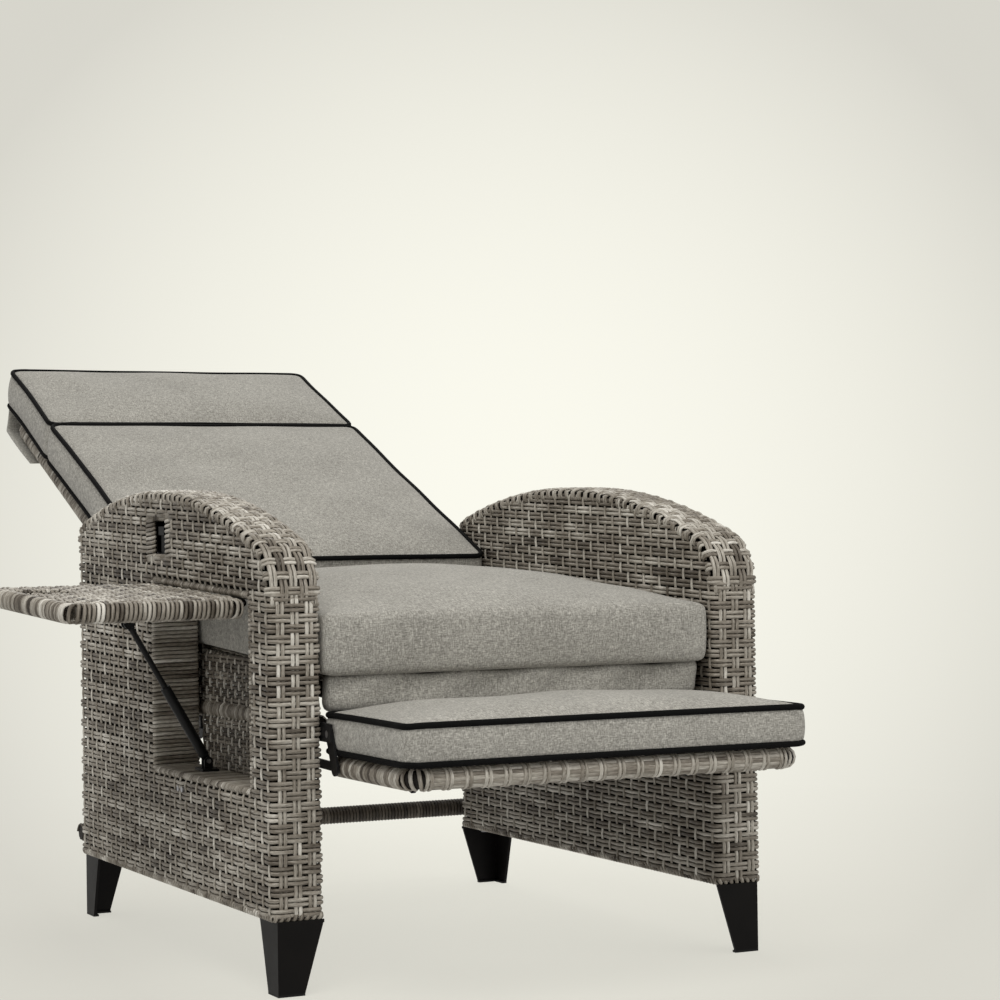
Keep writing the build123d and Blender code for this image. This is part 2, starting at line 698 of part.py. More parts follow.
def make_paddle():
    x = -arm_x
    y, z = paddle_pivot
    blade = block(x + 9, x + 13, slot_front + 14, slot_rear - 14, z, slot_top - 8)
    blade += block(x + 5, x + 9, slot_front + 14, slot_rear - 14, slot_top - 20, slot_top - 8)
    hub = rod((x + 11, y - 12, z), (x + 11, y + 12, z), 5)
    save("release_paddle", blade + hub - rod((x + 11, y - 40, z), (x + 11, y + 40, z), 2 + fit))
    pin = rod((x + 11, y - 19, z), (x + 11, y + 19, z), 2)
    save("paddle_pin", pin)
    holder = block(x + skin + gap, x + 17, y - 18, y - 13, z - 12, z + 6)
    holder += block(x + skin + gap, x + 17, y + 13, y + 18, z - 12, z + 6)
    holder += block(x + skin + gap, x + 17, y - 18, y + 18, z - 15, z - 12)
    save("paddle_holder", holder - rod((x + 11, y - 40, z), (x + 11, y + 40, z), 2))


# ---------------------------------------------------------------- build
os.makedirs("parts", exist_ok=True)
make_arms()
make_legs()
make_seat()
save("rear_stretcher", x_rod(-arm_x, arm_x, stretcher_y, stretcher_z, wrapped_r))
make_backrest()
make_recline_brackets()
make_pivot_pins()
make_footrest()
make_links()
make_gas_spring()
make_table()
make_table_hinges()
make_strut()
make_catch()
make_paddle()
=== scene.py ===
import json
import math

import bpy
import numpy as np
from mathutils import Matrix, Vector
from mathutils.bvhtree import BVHTree


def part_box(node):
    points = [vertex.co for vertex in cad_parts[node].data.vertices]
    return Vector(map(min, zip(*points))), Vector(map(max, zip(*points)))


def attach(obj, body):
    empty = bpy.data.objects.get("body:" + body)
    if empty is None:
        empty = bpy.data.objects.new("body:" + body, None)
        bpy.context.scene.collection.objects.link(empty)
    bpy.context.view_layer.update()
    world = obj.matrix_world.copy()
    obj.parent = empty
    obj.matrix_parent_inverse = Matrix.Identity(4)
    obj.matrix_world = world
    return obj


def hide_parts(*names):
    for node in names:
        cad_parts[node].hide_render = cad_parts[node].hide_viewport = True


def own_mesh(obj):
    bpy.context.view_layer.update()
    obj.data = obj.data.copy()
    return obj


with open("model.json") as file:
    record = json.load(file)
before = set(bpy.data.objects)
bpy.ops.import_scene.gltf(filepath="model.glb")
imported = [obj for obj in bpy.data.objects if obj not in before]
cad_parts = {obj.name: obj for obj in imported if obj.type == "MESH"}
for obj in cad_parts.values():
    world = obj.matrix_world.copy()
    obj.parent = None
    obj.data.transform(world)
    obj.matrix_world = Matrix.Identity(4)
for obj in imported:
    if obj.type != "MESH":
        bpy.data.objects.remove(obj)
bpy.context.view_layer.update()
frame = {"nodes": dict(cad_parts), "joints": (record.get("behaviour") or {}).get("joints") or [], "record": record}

# A woven garden recliner. Metres, in the frame of the CAD model: +Z up, the sitter faces -Y,
# and the side table is on the sitter's right arm, at -X.
nodes = frame["nodes"]
MM = 0.001
X, Y, Z = (1, 0, 0), (0, 1, 0), (0, 0, 1)
SEAT_TILT = math.radians(3)  # the seat rises this much to the rear
HEAD_TILT = math.radians(2.35)  # the table and its opening's head rise this much to the rear
BACK_TILT = math.radians(23)  # the reclined back above level


def put(name, data):
    piece = bpy.data.objects.new(name, data)
    bpy.context.scene.collection.objects.link(piece)
    return piece


def put_curve(name, paths, material, kind="POLY", cyclic=True, **settings):
    """A curve through each path's points; the settings are the curve's own."""
    data = bpy.data.curves.new(name, "CURVE")
    for setting, value in settings.items():
        setattr(data, setting, value)
    for path in paths:
        spline = data.splines.new(kind)
        spline.points.add(len(path) - 1)
        for point, place in zip(spline.points, path):
            point.co = (*place, 1)
        spline.use_cyclic_u = cyclic
    data.materials.append(material)
    return put(name, data)


def finish_pieces(body, slot, *pieces):
    for piece in pieces:
        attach(piece, body)


# ---------------------------------------------------------------- camera, lights, stage
CAMERA_PLACE = (-1.4889, -3.4075, 0.5802)
CAMERA_ANGLES = (-25.91, -0.673, -0.832)  # azimuth, elevation and roll


def add_camera():
    azimuth, elevation, roll = (math.radians(a) for a in CAMERA_ANGLES)
    level_part = math.cos(elevation)
    back = Vector((math.sin(azimuth) * level_part, -math.cos(azimuth) * level_part, math.sin(elevation)))
    level = Vector((0, 0, 1)).cross(back).normalized()
    upright = back.cross(level)
    right = level * math.cos(roll) + upright * math.sin(roll)
    up = upright * math.cos(roll) - level * math.sin(roll)
    data = bpy.data.cameras.new("camera")
    data.sensor_width = 36
    data.lens = 91.95
    data.clip_end = 100
    camera = put("camera", data)
    camera.matrix_world = Matrix.Translation(CAMERA_PLACE) @ Matrix((right, up, back)).transposed().to_4x4()
    bpy.context.scene.camera = camera
    return back


# backdrop colour behind the object, and a darker one towards the edges of the view: a painted pool of light
BACKDROP = (0.965, 0.955, 0.858, 1)
BACKDROP_SHADED_EDGE = (0.68, 0.668, 0.605, 1)


def add_world(back):
    """Pale backdrop with a painted pool of light: brighter behind the object and darker towards the edges of the
    view; it lights the object less than it shows.
    """
    world = bpy.data.worlds.new("studio")
    bpy.context.scene.world = world
    world.use_nodes = True
    tree = world.node_tree
    tree.nodes.clear()
    new, link = tree.nodes.new, tree.links.new
    coordinates = new("ShaderNodeTexCoord")
    facing = new("ShaderNodeVectorMath")
    facing.operation = "DOT_PRODUCT"
    facing.inputs[1].default_value = -back
    link(coordinates.outputs["Generated"], facing.inputs[0])
    # painted pool of light: the backdrop darkens away from the middle of the view
    ramp = new("ShaderNodeValToRGB")
    ramp.color_ramp.elements[0].position = 0.972
    ramp.color_ramp.elements[0].color = BACKDROP_SHADED_EDGE
    ramp.color_ramp.elements[1].position = 1.0
    ramp.color_ramp.elements[1].color = BACKDROP
    link(facing.outputs["Value"], ramp.inputs["Fac"])
    seen = new("ShaderNodeBackground")
    link(ramp.outputs["Color"], seen.inputs["Color"])
    ambient = new("ShaderNodeBackground")
    ambient.inputs["Color"].default_value = (1.0, 0.985, 0.95, 1)
    ambient.inputs["Strength"].default_value = 0.55
    path = new("ShaderNodeLightPath")
    mix = new("ShaderNodeMixShader")
    link(path.outputs["Is Camera Ray"], mix.inputs["Fac"])
    link(ambient.outputs["Background"], mix.inputs[1])
    link(seen.outputs["Background"], mix.inputs[2])
    link(mix.outputs["Shader"], new("ShaderNodeOutputWorld").inputs["Surface"])


def add_light(name, place, target, size, power):
    data = bpy.data.lights.new(name, "AREA")
    data.shape = "DISK"
    data.size = size
    data.energy = power
    data.color = (1, 0.98, 0.94)
    light = put(name, data)
    light.location = place
    light.rotation_euler = (Vector(target) - Vector(place)).to_track_quat("-Z", "Y").to_euler()


def add_floor():
    """A round floor that fades out into the backdrop."""
    size, rings = 7.0, 48
    step = 2 * math.pi / rings
    corners = [(size * math.cos(i * step), size * math.sin(i * step), -0.0005) for i in range(rings)]
    mesh = bpy.data.meshes.new("floor")
    mesh.from_pydata(corners, [], [list(range(rings))])
    floor = put("floor", mesh)
    material = bpy.data.materials.new("floor")
    material.use_nodes = True
    tree = material.node_tree
    tree.nodes.clear()
    new, link = tree.nodes.new, tree.links.new
    place = new("ShaderNodeNewGeometry")
    length = new("ShaderNodeVectorMath")
    length.operation = "LENGTH"
    link(place.outputs["Position"], length.inputs[0])
    fade = new("ShaderNodeMapRange")
    fade.inputs["From Min"].default_value = 0.6
    fade.inputs["From Max"].default_value = 2.2
    fade.inputs["To Min"].default_value = 0.80
    link(length.outputs["Value"], fade.inputs["Value"])
    near = new("ShaderNodeBsdfDiffuse")
    near.inputs["Color"].default_value = (0.84, 0.83, 0.76, 1)
    far = new("ShaderNodeBsdfTransparent")
    mix = new("ShaderNodeMixShader")
    link(fade.outputs["Result"], mix.inputs["Fac"])
    link(near.outputs["BSDF"], mix.inputs[1])
    link(far.outputs["BSDF"], mix.inputs[2])
    link(mix.outputs["Shader"], new("ShaderNodeOutputMaterial").inputs["Surface"])
    mesh.materials.append(material)


# ---------------------------------------------------------------- materials
def material_tree(name):
    material = bpy.data.materials.new(name)
    material.use_nodes = True
    tree = material.node_tree
    shader = tree.nodes["Principled BSDF"]
    return material, tree, shader


def ramp_node(tree, stops):
    node = tree.nodes.new("ShaderNodeValToRGB")
    ramp = node.color_ramp
    while len(ramp.elements) < len(stops):
        ramp.elements.new(0.5)
    for element, (position, color) in zip(ramp.elements, stops):
        element.position = position
        element.color = (*color, 1)
    return node


def noise_node(tree, vector, scale, detail=2.0, stretch=None):
    if stretch is not None:
        mapping = tree.nodes.new("ShaderNodeMapping")
        mapping.inputs["Scale"].default_value = stretch
        tree.links.new(vector, mapping.inputs["Vector"])
        vector = mapping.outputs["Vector"]
    noise = tree.nodes.new("ShaderNodeTexNoise")
    noise.inputs["Scale"].default_value = scale
    noise.inputs["Detail"].default_value = detail
    tree.links.new(vector, noise.inputs["Vector"])
    return noise.outputs["Fac"]


def math_node(tree, operation, *values):
    node = tree.nodes.new("ShaderNodeMath")
    node.operation = operation
    for socket, value in zip(node.inputs, values):
        if isinstance(value, (int, float)):
            socket.default_value = value
        else:
            tree.links.new(value, socket)
    return node.outputs["Value"]


def bump_node(tree, height, distance, strength=1.0):
    node = tree.nodes.new("ShaderNodeBump")
    node.inputs["Distance"].default_value = distance
    node.inputs["Strength"].default_value = strength
    tree.links.new(height, node.inputs["Height"])
    return node.outputs["Normal"]


WICKER_STOPS = (
    (0.0, (0.034, 0.026, 0.018)),
    (0.28, (0.100, 0.082, 0.062)),
    (0.55, (0.270, 0.240, 0.198)),
    (0.80, (0.500, 0.470, 0.412)),
    (1.0, (0.760, 0.730, 0.665)),
)
CANVAS_STOPS = (
    (0.36, (0.175, 0.168, 0.150)),
    (0.50, (0.355, 0.344, 0.312)),
    (0.62, (0.600, 0.585, 0.535)),
)
PIPING_STOPS = ((0.35, (0.0012, 0.0012, 0.0012)), (0.7, (0.006, 0.006, 0.006)))


def wicker_material():
    """Mottled resin strand: each strand's tone, with streaks that run along it."""
    material, tree, shader = material_tree("wicker")
    tone = tree.nodes.new("ShaderNodeAttribute")
    tone.attribute_name = "tone"
    flow = tree.nodes.new("ShaderNodeAttribute")
    flow.attribute_name = "flow"
    streak = noise_node(tree, flow.outputs["Vector"], 1.0, 3.0, stretch=(45, 1500, 1))
    fleck = noise_node(tree, flow.outputs["Vector"], 1.0, 2.0, stretch=(160, 500, 3))
    value = math_node(tree, "MULTIPLY_ADD", streak, 0.80, -0.40)
    value = math_node(tree, "ADD", value, tone.outputs["Fac"])
    mottle = math_node(tree, "MULTIPLY_ADD", fleck, 0.45, -0.225)
    value = math_node(tree, "ADD", value, mottle)
    ramp = ramp_node(tree, WICKER_STOPS)
    tree.links.new(value, ramp.inputs["Fac"])
    tree.links.new(ramp.outputs["Color"], shader.inputs["Base Color"])
    rough = math_node(tree, "MULTIPLY_ADD", streak, 0.25, 0.36)
    tree.links.new(rough, shader.inputs["Roughness"])
    shader.inputs["Specular IOR Level"].default_value = 0.5
    tree.links.new(bump_node(tree, streak, 0.0004), shader.inputs["Normal"])
    return material


def fabric_material():
    """Heathered canvas: two thread directions, pale and dark flecks, and a fine bump."""
    material, tree, shader = material_tree("canvas")
    place = tree.nodes.new("ShaderNodeTexCoord").outputs["Object"]
    warp = noise_node(tree, place, 1.0, 2.0, stretch=(950, 150, 150))
    weft = noise_node(tree, place, 1.0, 2.0, stretch=(140, 850, 850))
    fleck = noise_node(tree, place, 460.0, 3.0)
    soft = noise_node(tree, place, 9.0, 2.0)
    threads = math_node(tree, "ADD", warp, weft)
    grain = math_node(tree, "ADD", threads, fleck)
    value = math_node(tree, "MULTIPLY_ADD", soft, 0.25, grain)
    ramp = ramp_node(tree, CANVAS_STOPS)
    tree.links.new(math_node(tree, "DIVIDE", value, 3.25), ramp.inputs["Fac"])
    tree.links.new(ramp.outputs["Color"], shader.inputs["Base Color"])
    shader.inputs["Roughness"].default_value = 0.9
    shader.inputs["Specular IOR Level"].default_value = 0.2
    shader.inputs["Sheen Weight"].default_value = 0.15
    shader.inputs["Sheen Roughness"].default_value = 0.5
    tree.links.new(bump_node(tree, threads, 0.0005, 0.6), shader.inputs["Normal"])
    return material


def piping_material():
    material, tree, shader = material_tree("piping")
    place = tree.nodes.new("ShaderNodeTexCoord").outputs["Object"]
    grain = noise_node(tree, place, 900.0, 2.0)
    ramp = ramp_node(tree, PIPING_STOPS)
    tree.links.new(grain, ramp.inputs["Fac"])
    tree.links.new(ramp.outputs["Color"], shader.inputs["Base Color"])
    shader.inputs["Roughness"].default_value = 0.85
    shader.inputs["Specular IOR Level"].default_value = 0.12
    tree.links.new(bump_node(tree, grain, 0.0003), shader.inputs["Normal"])
    return material


def coated_material(name, dark, light, roughness, metallic=0.0, specular=0.22):
    """Powder coat or moulding: fine orange peel, and a slow change of tone."""
    material, tree, shader = material_tree(name)
    place = tree.nodes.new("ShaderNodeTexCoord").outputs["Object"]
    peel = noise_node(tree, place, 1100.0, 2.0)
    patch = noise_node(tree, place, 22.0, 4.0)
    ramp = ramp_node(tree, ((0.3, dark), (0.75, light)))
    tree.links.new(patch, ramp.inputs["Fac"])
    tree.links.new(ramp.outputs["Color"], shader.inputs["Base Color"])
    rough = math_node(tree, "MULTIPLY_ADD", patch, 0.2, roughness - 0.1)
    tree.links.new(rough, shader.inputs["Roughness"])
    shader.inputs["Metallic"].default_value = metallic
    shader.inputs["Specular IOR Level"].default_value = specular
    tree.links.new(bump_node(tree, peel, 0.0002, 0.5), shader.inputs["Normal"])
    return material


# ---------------------------------------------------------------- strands
STRAND = 5.4 * MM  # width of one half-round strand
CROWN = 2.2 * MM  # its height
PAIR = 2.95 * MM  # each strand of a pair lies this far from the pair's middle
ROW = 13.3 * MM  # from one pair to the next
STAKE = 22.2 * MM  # from one upright strand to the next
DIP = 1.5 * MM  # how far a pair rises and falls
SWAY = 0.8 * MM  # how far an upright strand does
BED = -1.6 * MM  # middle of the weave, below the CAD surface

# half-round section: across and height, as shares of the width and the crown
SECTION = np.array([(-0.5, 0.0), (-0.36, 0.66), (0.0, 1.0), (0.36, 0.66), (0.5, 0.0)])

random = np.random.default_rng(41)


def travelled(points):
    """Length of the way to each point of a path."""
    return np.concatenate([[0], np.cumsum(np.linalg.norm(np.diff(points, axis=0), axis=1))])


class Strands:
    """Collects strands into one mesh."""

    def __init__(self):
        self.points, self.faces, self.tones, self.flows = [], [], [], []
        self.count = 0

    def add(self, line, normal, tone=None, width=STRAND, crown=CROWN, spread=0.20, patch=0.045, base=0.5):
        """A half-round strand along a line. The tone drifts from patch to patch along it."""
        line = np.asarray(line, float)
        normal = np.asarray(normal, float)
        normal = normal / np.linalg.norm(normal, axis=1, keepdims=True)
        along = np.gradient(line, axis=0)
        across = np.cross(along, normal)
        across /= np.maximum(np.linalg.norm(across, axis=1, keepdims=True), 1e-9)
        count, ring = len(line), len(SECTION)
        points = (
            line[:, None]
            + across[:, None] * (SECTION[None, :, :1] * width)
            + normal[:, None] * (SECTION[None, :, 1:] * crown)
        )
        travel = travelled(line)
        if tone is None:
            tone = drift(travel, base, spread, patch)
        seed = random.random() * 60
        flow = np.empty((count, ring, 3))
        flow[..., 0] = travel[:, None]
        flow[..., 1] = SECTION[None, :, 0] * width + seed
        flow[..., 2] = seed
        index = np.arange(count - 1)[:, None] * ring + np.arange(ring)[None] + self.count
        following = index - np.arange(ring)[None] + (np.arange(ring)[None] + 1) % ring
        quads = np.stack([index, following, following + ring, index + ring], axis=-1).reshape(-1, 4)
        self.faces += quads.tolist()
        self.faces.append(list(range(self.count + ring - 1, self.count - 1, -1)))
        last = self.count + (count - 1) * ring
        self.faces.append(list(range(last, last + ring)))
        self.points.append(points.reshape(-1, 3))
        self.tones.append(np.repeat(tone, ring))
        self.flows.append(flow.reshape(-1, 3))
        self.count += count * ring

    def mesh(self, name, material, place=None):
        mesh = bpy.data.meshes.new(name)
        points = np.concatenate(self.points)
        mesh.from_pydata(points.tolist(), [], self.faces)
        tones = np.concatenate(self.tones).astype(np.float32)
        flows = np.concatenate(self.flows).astype(np.float32).ravel()
        mesh.attributes.new("tone", "FLOAT", "POINT").data.foreach_set("value", tones)
        mesh.attributes.new("flow", "FLOAT_VECTOR", "POINT").data.foreach_set("vector", flows)
        mesh.shade_smooth()
        mesh.materials.append(material)
        if place is not None:
            mesh.transform(place)
        return put(name, mesh)


def drift(travel, base, spread, patch):
    """Tone along a strand: a level of its own, and blotches about a patch long."""
    knots = int(travel[-1] / patch) + 3
    levels = base + random.normal(0, spread * 0.35) + random.normal(0, spread, knots)
    return np.interp(travel / patch, np.arange(knots), levels)


def rounded_wave(phase):
    """A cosine with flatter tops, as a strand lies over a stake."""
    wave = np.cos(phase)
    return np.sign(wave) * np.abs(wave) ** 0.7


def runs(low, high, keep):
    """Stretches of [low, high] where keep(values) holds."""
    values = np.arange(low, high + MM / 2, MM)
    inside = np.concatenate([[False], keep(values), [False]])
    edges = np.flatnonzero(inside[1:] != inside[:-1])
    found = [(values[a], values[b - 1]) for a, b in zip(edges[::2], edges[1::2])]
    return [(a, b) for a, b in found if b - a > 7 * MM]


def lay(strands, surface, along, across, height, **look):
    """A strand on a surface: along and across are its surface coordinates, height is off it."""
    line = surface(along, across, height)
    normal = surface(along, across, height + MM) - line
    strands.add(line, normal, **look)


def tuck(values, start, end, depth=2.2 * MM, reach=6 * MM):
    """Lets a strand's two ends go under what covers them."""
    near = np.minimum(values - start, end - values)
    return -depth * np.clip(1 - near / reach, 0, 1) ** 2


def weft(strands, surface, row, across_at, stakes, keep, offsets=(-PAIR, PAIR), **look):
    """One pair of strands that goes over and under the stakes."""
    counts = np.arange(len(stakes))
    quarter = np.interp(np.arange(0, len(stakes) - 1 + 0.1, 0.25), counts, stakes)
    for start, end in runs(stakes[0], stakes[-1], lambda u: keep(u, across_at(u))):
        inner = quarter[(quarter > start + 2 * MM) & (quarter < end - 2 * MM)]
        u = np.concatenate([[start], inner, [end]])
        phase = np.interp(u, stakes, counts)
        height = BED + DIP * rounded_wave(math.pi * (phase + row)) + tuck(u, start, end)
        travel = u - u[0]
        tone = drift(travel, look.get("base", 0.53), 0.15, 0.05)
        for offset in offsets:
            shade = tone + random.normal(0, 0.06)
            lay(strands, surface, u, across_at(u) + offset, height, tone=shade)


def stake(strands, surface, index, along, low, high, row_at, keep, double=False, base=0.68):
    """An upright strand that the pairs go over and under."""
    offsets = (-3.1 * MM, 3.1 * MM) if double else (0.0,)
    for start, end in runs(low, high, lambda v: keep(np.full_like(v, along), v)):
        rows = row_at(np.array([start, end]))
        centres = np.arange(math.ceil(rows[0] * 2), math.floor(rows[1] * 2) + 1) / 2
        span = np.linspace(start, end, 400)
        v = np.interp(centres, row_at(span), span)
        v = np.concatenate([[start], v[(v > start + MM) & (v < end - MM)], [end]])
        height = BED - SWAY * np.cos(math.pi * (index + row_at(v))) + tuck(v, start, end)
        for offset in offsets:
            lay(strands, surface, np.full_like(v, along) + offset, v, height, base=base, spread=0.14)


def wrap(strands, centre, side, up, half_side, half_up, pitch, steps=12, square=0.5, **look):
    """A strand wound round a bar: centre(t) for t from 0 to 1, with its side and up directions.

    square shapes the section, from 1 for a round one towards 0 for a box.
    """
    path = np.array([centre(t) for t in np.linspace(0, 1, 200)])
    turns = max(1, round(travelled(path)[-1] / pitch))
    t = np.linspace(0, 1, turns * steps + 1)
    angle = 2 * math.pi * turns * t
    c, s = np.cos(angle), np.sin(angle)
    middle = np.array([centre(v) for v in t])
    sides = np.array([side(v) for v in t])
    ups = np.array([up(v) for v in t])
    a = (np.sign(c) * np.abs(c) ** square * half_side)[:, None]
    b = (np.sign(s) * np.abs(s) ** square * half_up)[:, None]
    out = sides * (c * half_up)[:, None] + ups * (s * half_side)[:, None]
    strands.add(middle + sides * a + ups * b, out, **look)


def straight(start, end):
    start, end = np.array(start, float), np.array(end, float)
    return lambda t: start + (end - start) * t


def fixed(direction):
    direction = np.array(direction, float)
    return lambda t: direction


# ---------------------------------------------------------------- the arm panels
arm_low, arm_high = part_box("arm_weave_left")
ARM_MIDDLE = (arm_low.x + arm_high.x) / 2
ARM_HALF = (arm_high.x - arm_low.x) / 2
ARM_FRONT, ARM_REAR = arm_low.y, arm_high.y
ARM_BOTTOM, ARM_TOP = arm_low.z, arm_high.z
EDGE = 7 * MM  # radius of the panel's rounded edges
ARCH_RADIUS, APEX_Y = 1.300, 0.060
NOSE_RADIUS, HEEL_RADIUS = 0.075, 0.030
ARCH_CENTRE = np.array([APEX_Y, ARM_TOP - ARCH_RADIUS])


def end_round(edge_y, radius, side):
    """Centre of the round that joins the arch to the front or the rear, and its angle on the arch."""
    y = edge_y - side * radius
    z = ARCH_CENTRE[1] + math.sqrt((ARCH_RADIUS - radius) ** 2 - (y - APEX_Y) ** 2)
    return np.array([y, z]), math.atan2(z - ARCH_CENTRE[1], y - APEX_Y)


NOSE, NOSE_ANGLE = end_round(ARM_FRONT, NOSE_RADIUS, -1)
HEEL, HEEL_ANGLE = end_round(ARM_REAR, HEEL_RADIUS, 1)
NOSE_ARC = (math.pi - NOSE_ANGLE) * NOSE_RADIUS
ARCH_ARC = (NOSE_ANGLE - HEEL_ANGLE) * ARCH_RADIUS
HEEL_ARC = HEEL_ANGLE * HEEL_RADIUS
TOP_LINE = NOSE_ARC + ARCH_ARC + HEEL_ARC


def arch_point(t):
    """Point and outward normal of the arm's top line, t metres along it from the nose's foot."""
    t = np.asarray(t, float)
    on_nose = math.pi - t / NOSE_RADIUS
    on_arch = NOSE_ANGLE - (t - NOSE_ARC) / ARCH_RADIUS
    on_heel = HEEL_ANGLE - (t - NOSE_ARC - ARCH_ARC) / HEEL_RADIUS
    before, nose, arch, past = t < 0, t < NOSE_ARC, t < NOSE_ARC + ARCH_ARC, t > TOP_LINE
    angle = np.where(nose, on_nose, np.where(arch, on_arch, on_heel))
    angle = np.clip(angle, 0, math.pi)
    radius = np.where(nose, NOSE_RADIUS, np.where(arch, ARCH_RADIUS, HEEL_RADIUS))
    cy = np.where(nose, NOSE[0], np.where(arch, ARCH_CENTRE[0], HEEL[0]))
    cz = np.where(nose, NOSE[1], np.where(arch, ARCH_CENTRE[1], HEEL[1]))
    ny, nz = np.cos(angle), np.sin(angle)
    y, z = cy + radius * ny, cz + radius * nz
    z = z + np.where(before, t, 0) - np.where(past, t - TOP_LINE, 0)
    return y, z, ny, nz


def arch_depth(y, z):
    """How far a point of the panel's side lies inside its top line."""
    from_arch = ARCH_RADIUS - np.hypot(y - ARCH_CENTRE[0], z - ARCH_CENTRE[1])
    angle = np.arctan2(z - ARCH_CENTRE[1], y - ARCH_CENTRE[0])
    in_nose = (angle > NOSE_ANGLE) & (z > NOSE[1]) & (y < NOSE[0])
    in_heel = (angle < HEEL_ANGLE) & (z > HEEL[1]) & (y > HEEL[0])
    depth = np.where(in_nose, NOSE_RADIUS - np.hypot(y - NOSE[0], z - NOSE[1]), from_arch)
    return np.where(in_heel, HEEL_RADIUS - np.hypot(y - HEEL[0], z - HEEL[1]), depth)


# the loop round the panel seen from above: rear face, outer side, front face, inner side
FLAT_END = 2 * (ARM_HALF - EDGE)
FLAT_SIDE = ARM_REAR - ARM_FRONT - 2 * EDGE
CORNER = math.pi / 2 * EDGE
LOOP = 2 * (FLAT_END + FLAT_SIDE) + 4 * CORNER
OUTER_START = FLAT_END / 2 + CORNER
FRONT_START = OUTER_START + FLAT_SIDE + CORNER
INNER_START = FRONT_START + FLAT_END + CORNER


def loop_point(u):
    """x from the panel's middle (outwards positive), y, and the outward normal."""
    u = np.mod(np.asarray(u, float), LOOP)
    half, flat = ARM_HALF - EDGE, ARM_HALF
    front, rear = ARM_FRONT + EDGE, ARM_REAR - EDGE
    pieces = (
        (FLAT_END / 2, (0, 0), None, (1, 0), (0, ARM_REAR), (0, 1)),
        (CORNER, (half, rear), 90, None, None, None),
        (FLAT_SIDE, None, None, (0, -1), (flat, rear), (1, 0)),
        (CORNER, (half, front), 0, None, None, None),
        (FLAT_END, None, None, (-1, 0), (half, ARM_FRONT), (0, -1)),
        (CORNER, (-half, front), -90, None, None, None),
        (FLAT_SIDE, None, None, (0, 1), (-flat, front), (-1, 0)),
        (CORNER, (-half, rear), -180, None, None, None),
        (FLAT_END / 2, None, None, (1, 0), (-half, ARM_REAR), (0, 1)),
    )
    x, y, nx, ny = (np.zeros_like(u) for _ in range(4))
    begin = 0.0
    for length, centre, first, step, origin, normal in pieces:
        here = (u >= begin) & (u <= begin + length)
        local = u - begin
        if first is None:
            px, py = origin[0] + step[0] * local, origin[1] + step[1] * local
            mx, my = np.full_like(u, normal[0]), np.full_like(u, normal[1])
        else:
            angle = math.radians(first) - local / EDGE
            mx, my = np.cos(angle), np.sin(angle)
            px, py = centre[0] + EDGE * mx, centre[1] + EDGE * my
        x, y = np.where(here, px, x), np.where(here, py, y)
        nx, ny = np.where(here, mx, nx), np.where(here, my, ny)
        begin += length
    return x, y, nx, ny


SIDE_COUNT = 36  # upright strands on each side of the panel
END_GAP = 19.5 * MM  # from one to the next on its narrow ends


def side_stakes():
    """Loop positions of the upright strands, with the loop's start and end at the rear's middle."""
    side = (np.arange(SIDE_COUNT) + 0.5) / SIDE_COUNT * (FLAT_SIDE + CORNER) - CORNER / 2
    front = FRONT_START + FLAT_END / 2 + np.array([-1, 0, 1]) * END_GAP
    rear = [LOOP - END_GAP, LOOP]
    return np.concatenate([[0, END_GAP], OUTER_START + side, front, INNER_START + side, rear])


STAKES = side_stakes()
DOUBLE_STAKES = (0, 1, SIDE_COUNT + 2, SIDE_COUNT + 3, SIDE_COUNT + 4, len(STAKES) - 2)

# the table's opening and the release slot, in the right arm
OPEN_FRONT, OPEN_REAR, OPEN_SILL, OPEN_HEAD = -0.330, 0.052, 0.255, 0.496
HEAD_RISE = math.tan(HEAD_TILT)
SLOT = (-0.002, 0.050, 0.552, 0.600)
JAMB = 11 * MM  # width of the wrapped edge round the opening
FIRST_ROW = ARM_BOTTOM + 10 * MM
ROWS = 41


def row_height(row, y):
    """Rows are level at the bottom and rise to the rear towards the top."""
    z = FIRST_ROW + row * ROW
    rise = HEAD_RISE * np.clip((z - OPEN_SILL) / (OPEN_HEAD - OPEN_SILL), 0, 1)
    return z + rise * (y - OPEN_FRONT)


def head_height(y):
    return OPEN_HEAD + HEAD_RISE * (y - OPEN_FRONT)


def in_opening(y, z, grow):
    across = (y > OPEN_FRONT - grow) & (y < OPEN_REAR + grow)
    return across & (z > OPEN_SILL - grow) & (z < head_height(y) + grow)


def in_slot(y, z, rear_grow, front_grow, grow):
    front, rear, low, high = SLOT
    return (y > front - front_grow) & (y < rear + rear_grow) & (z > low - grow) & (z < high + grow)


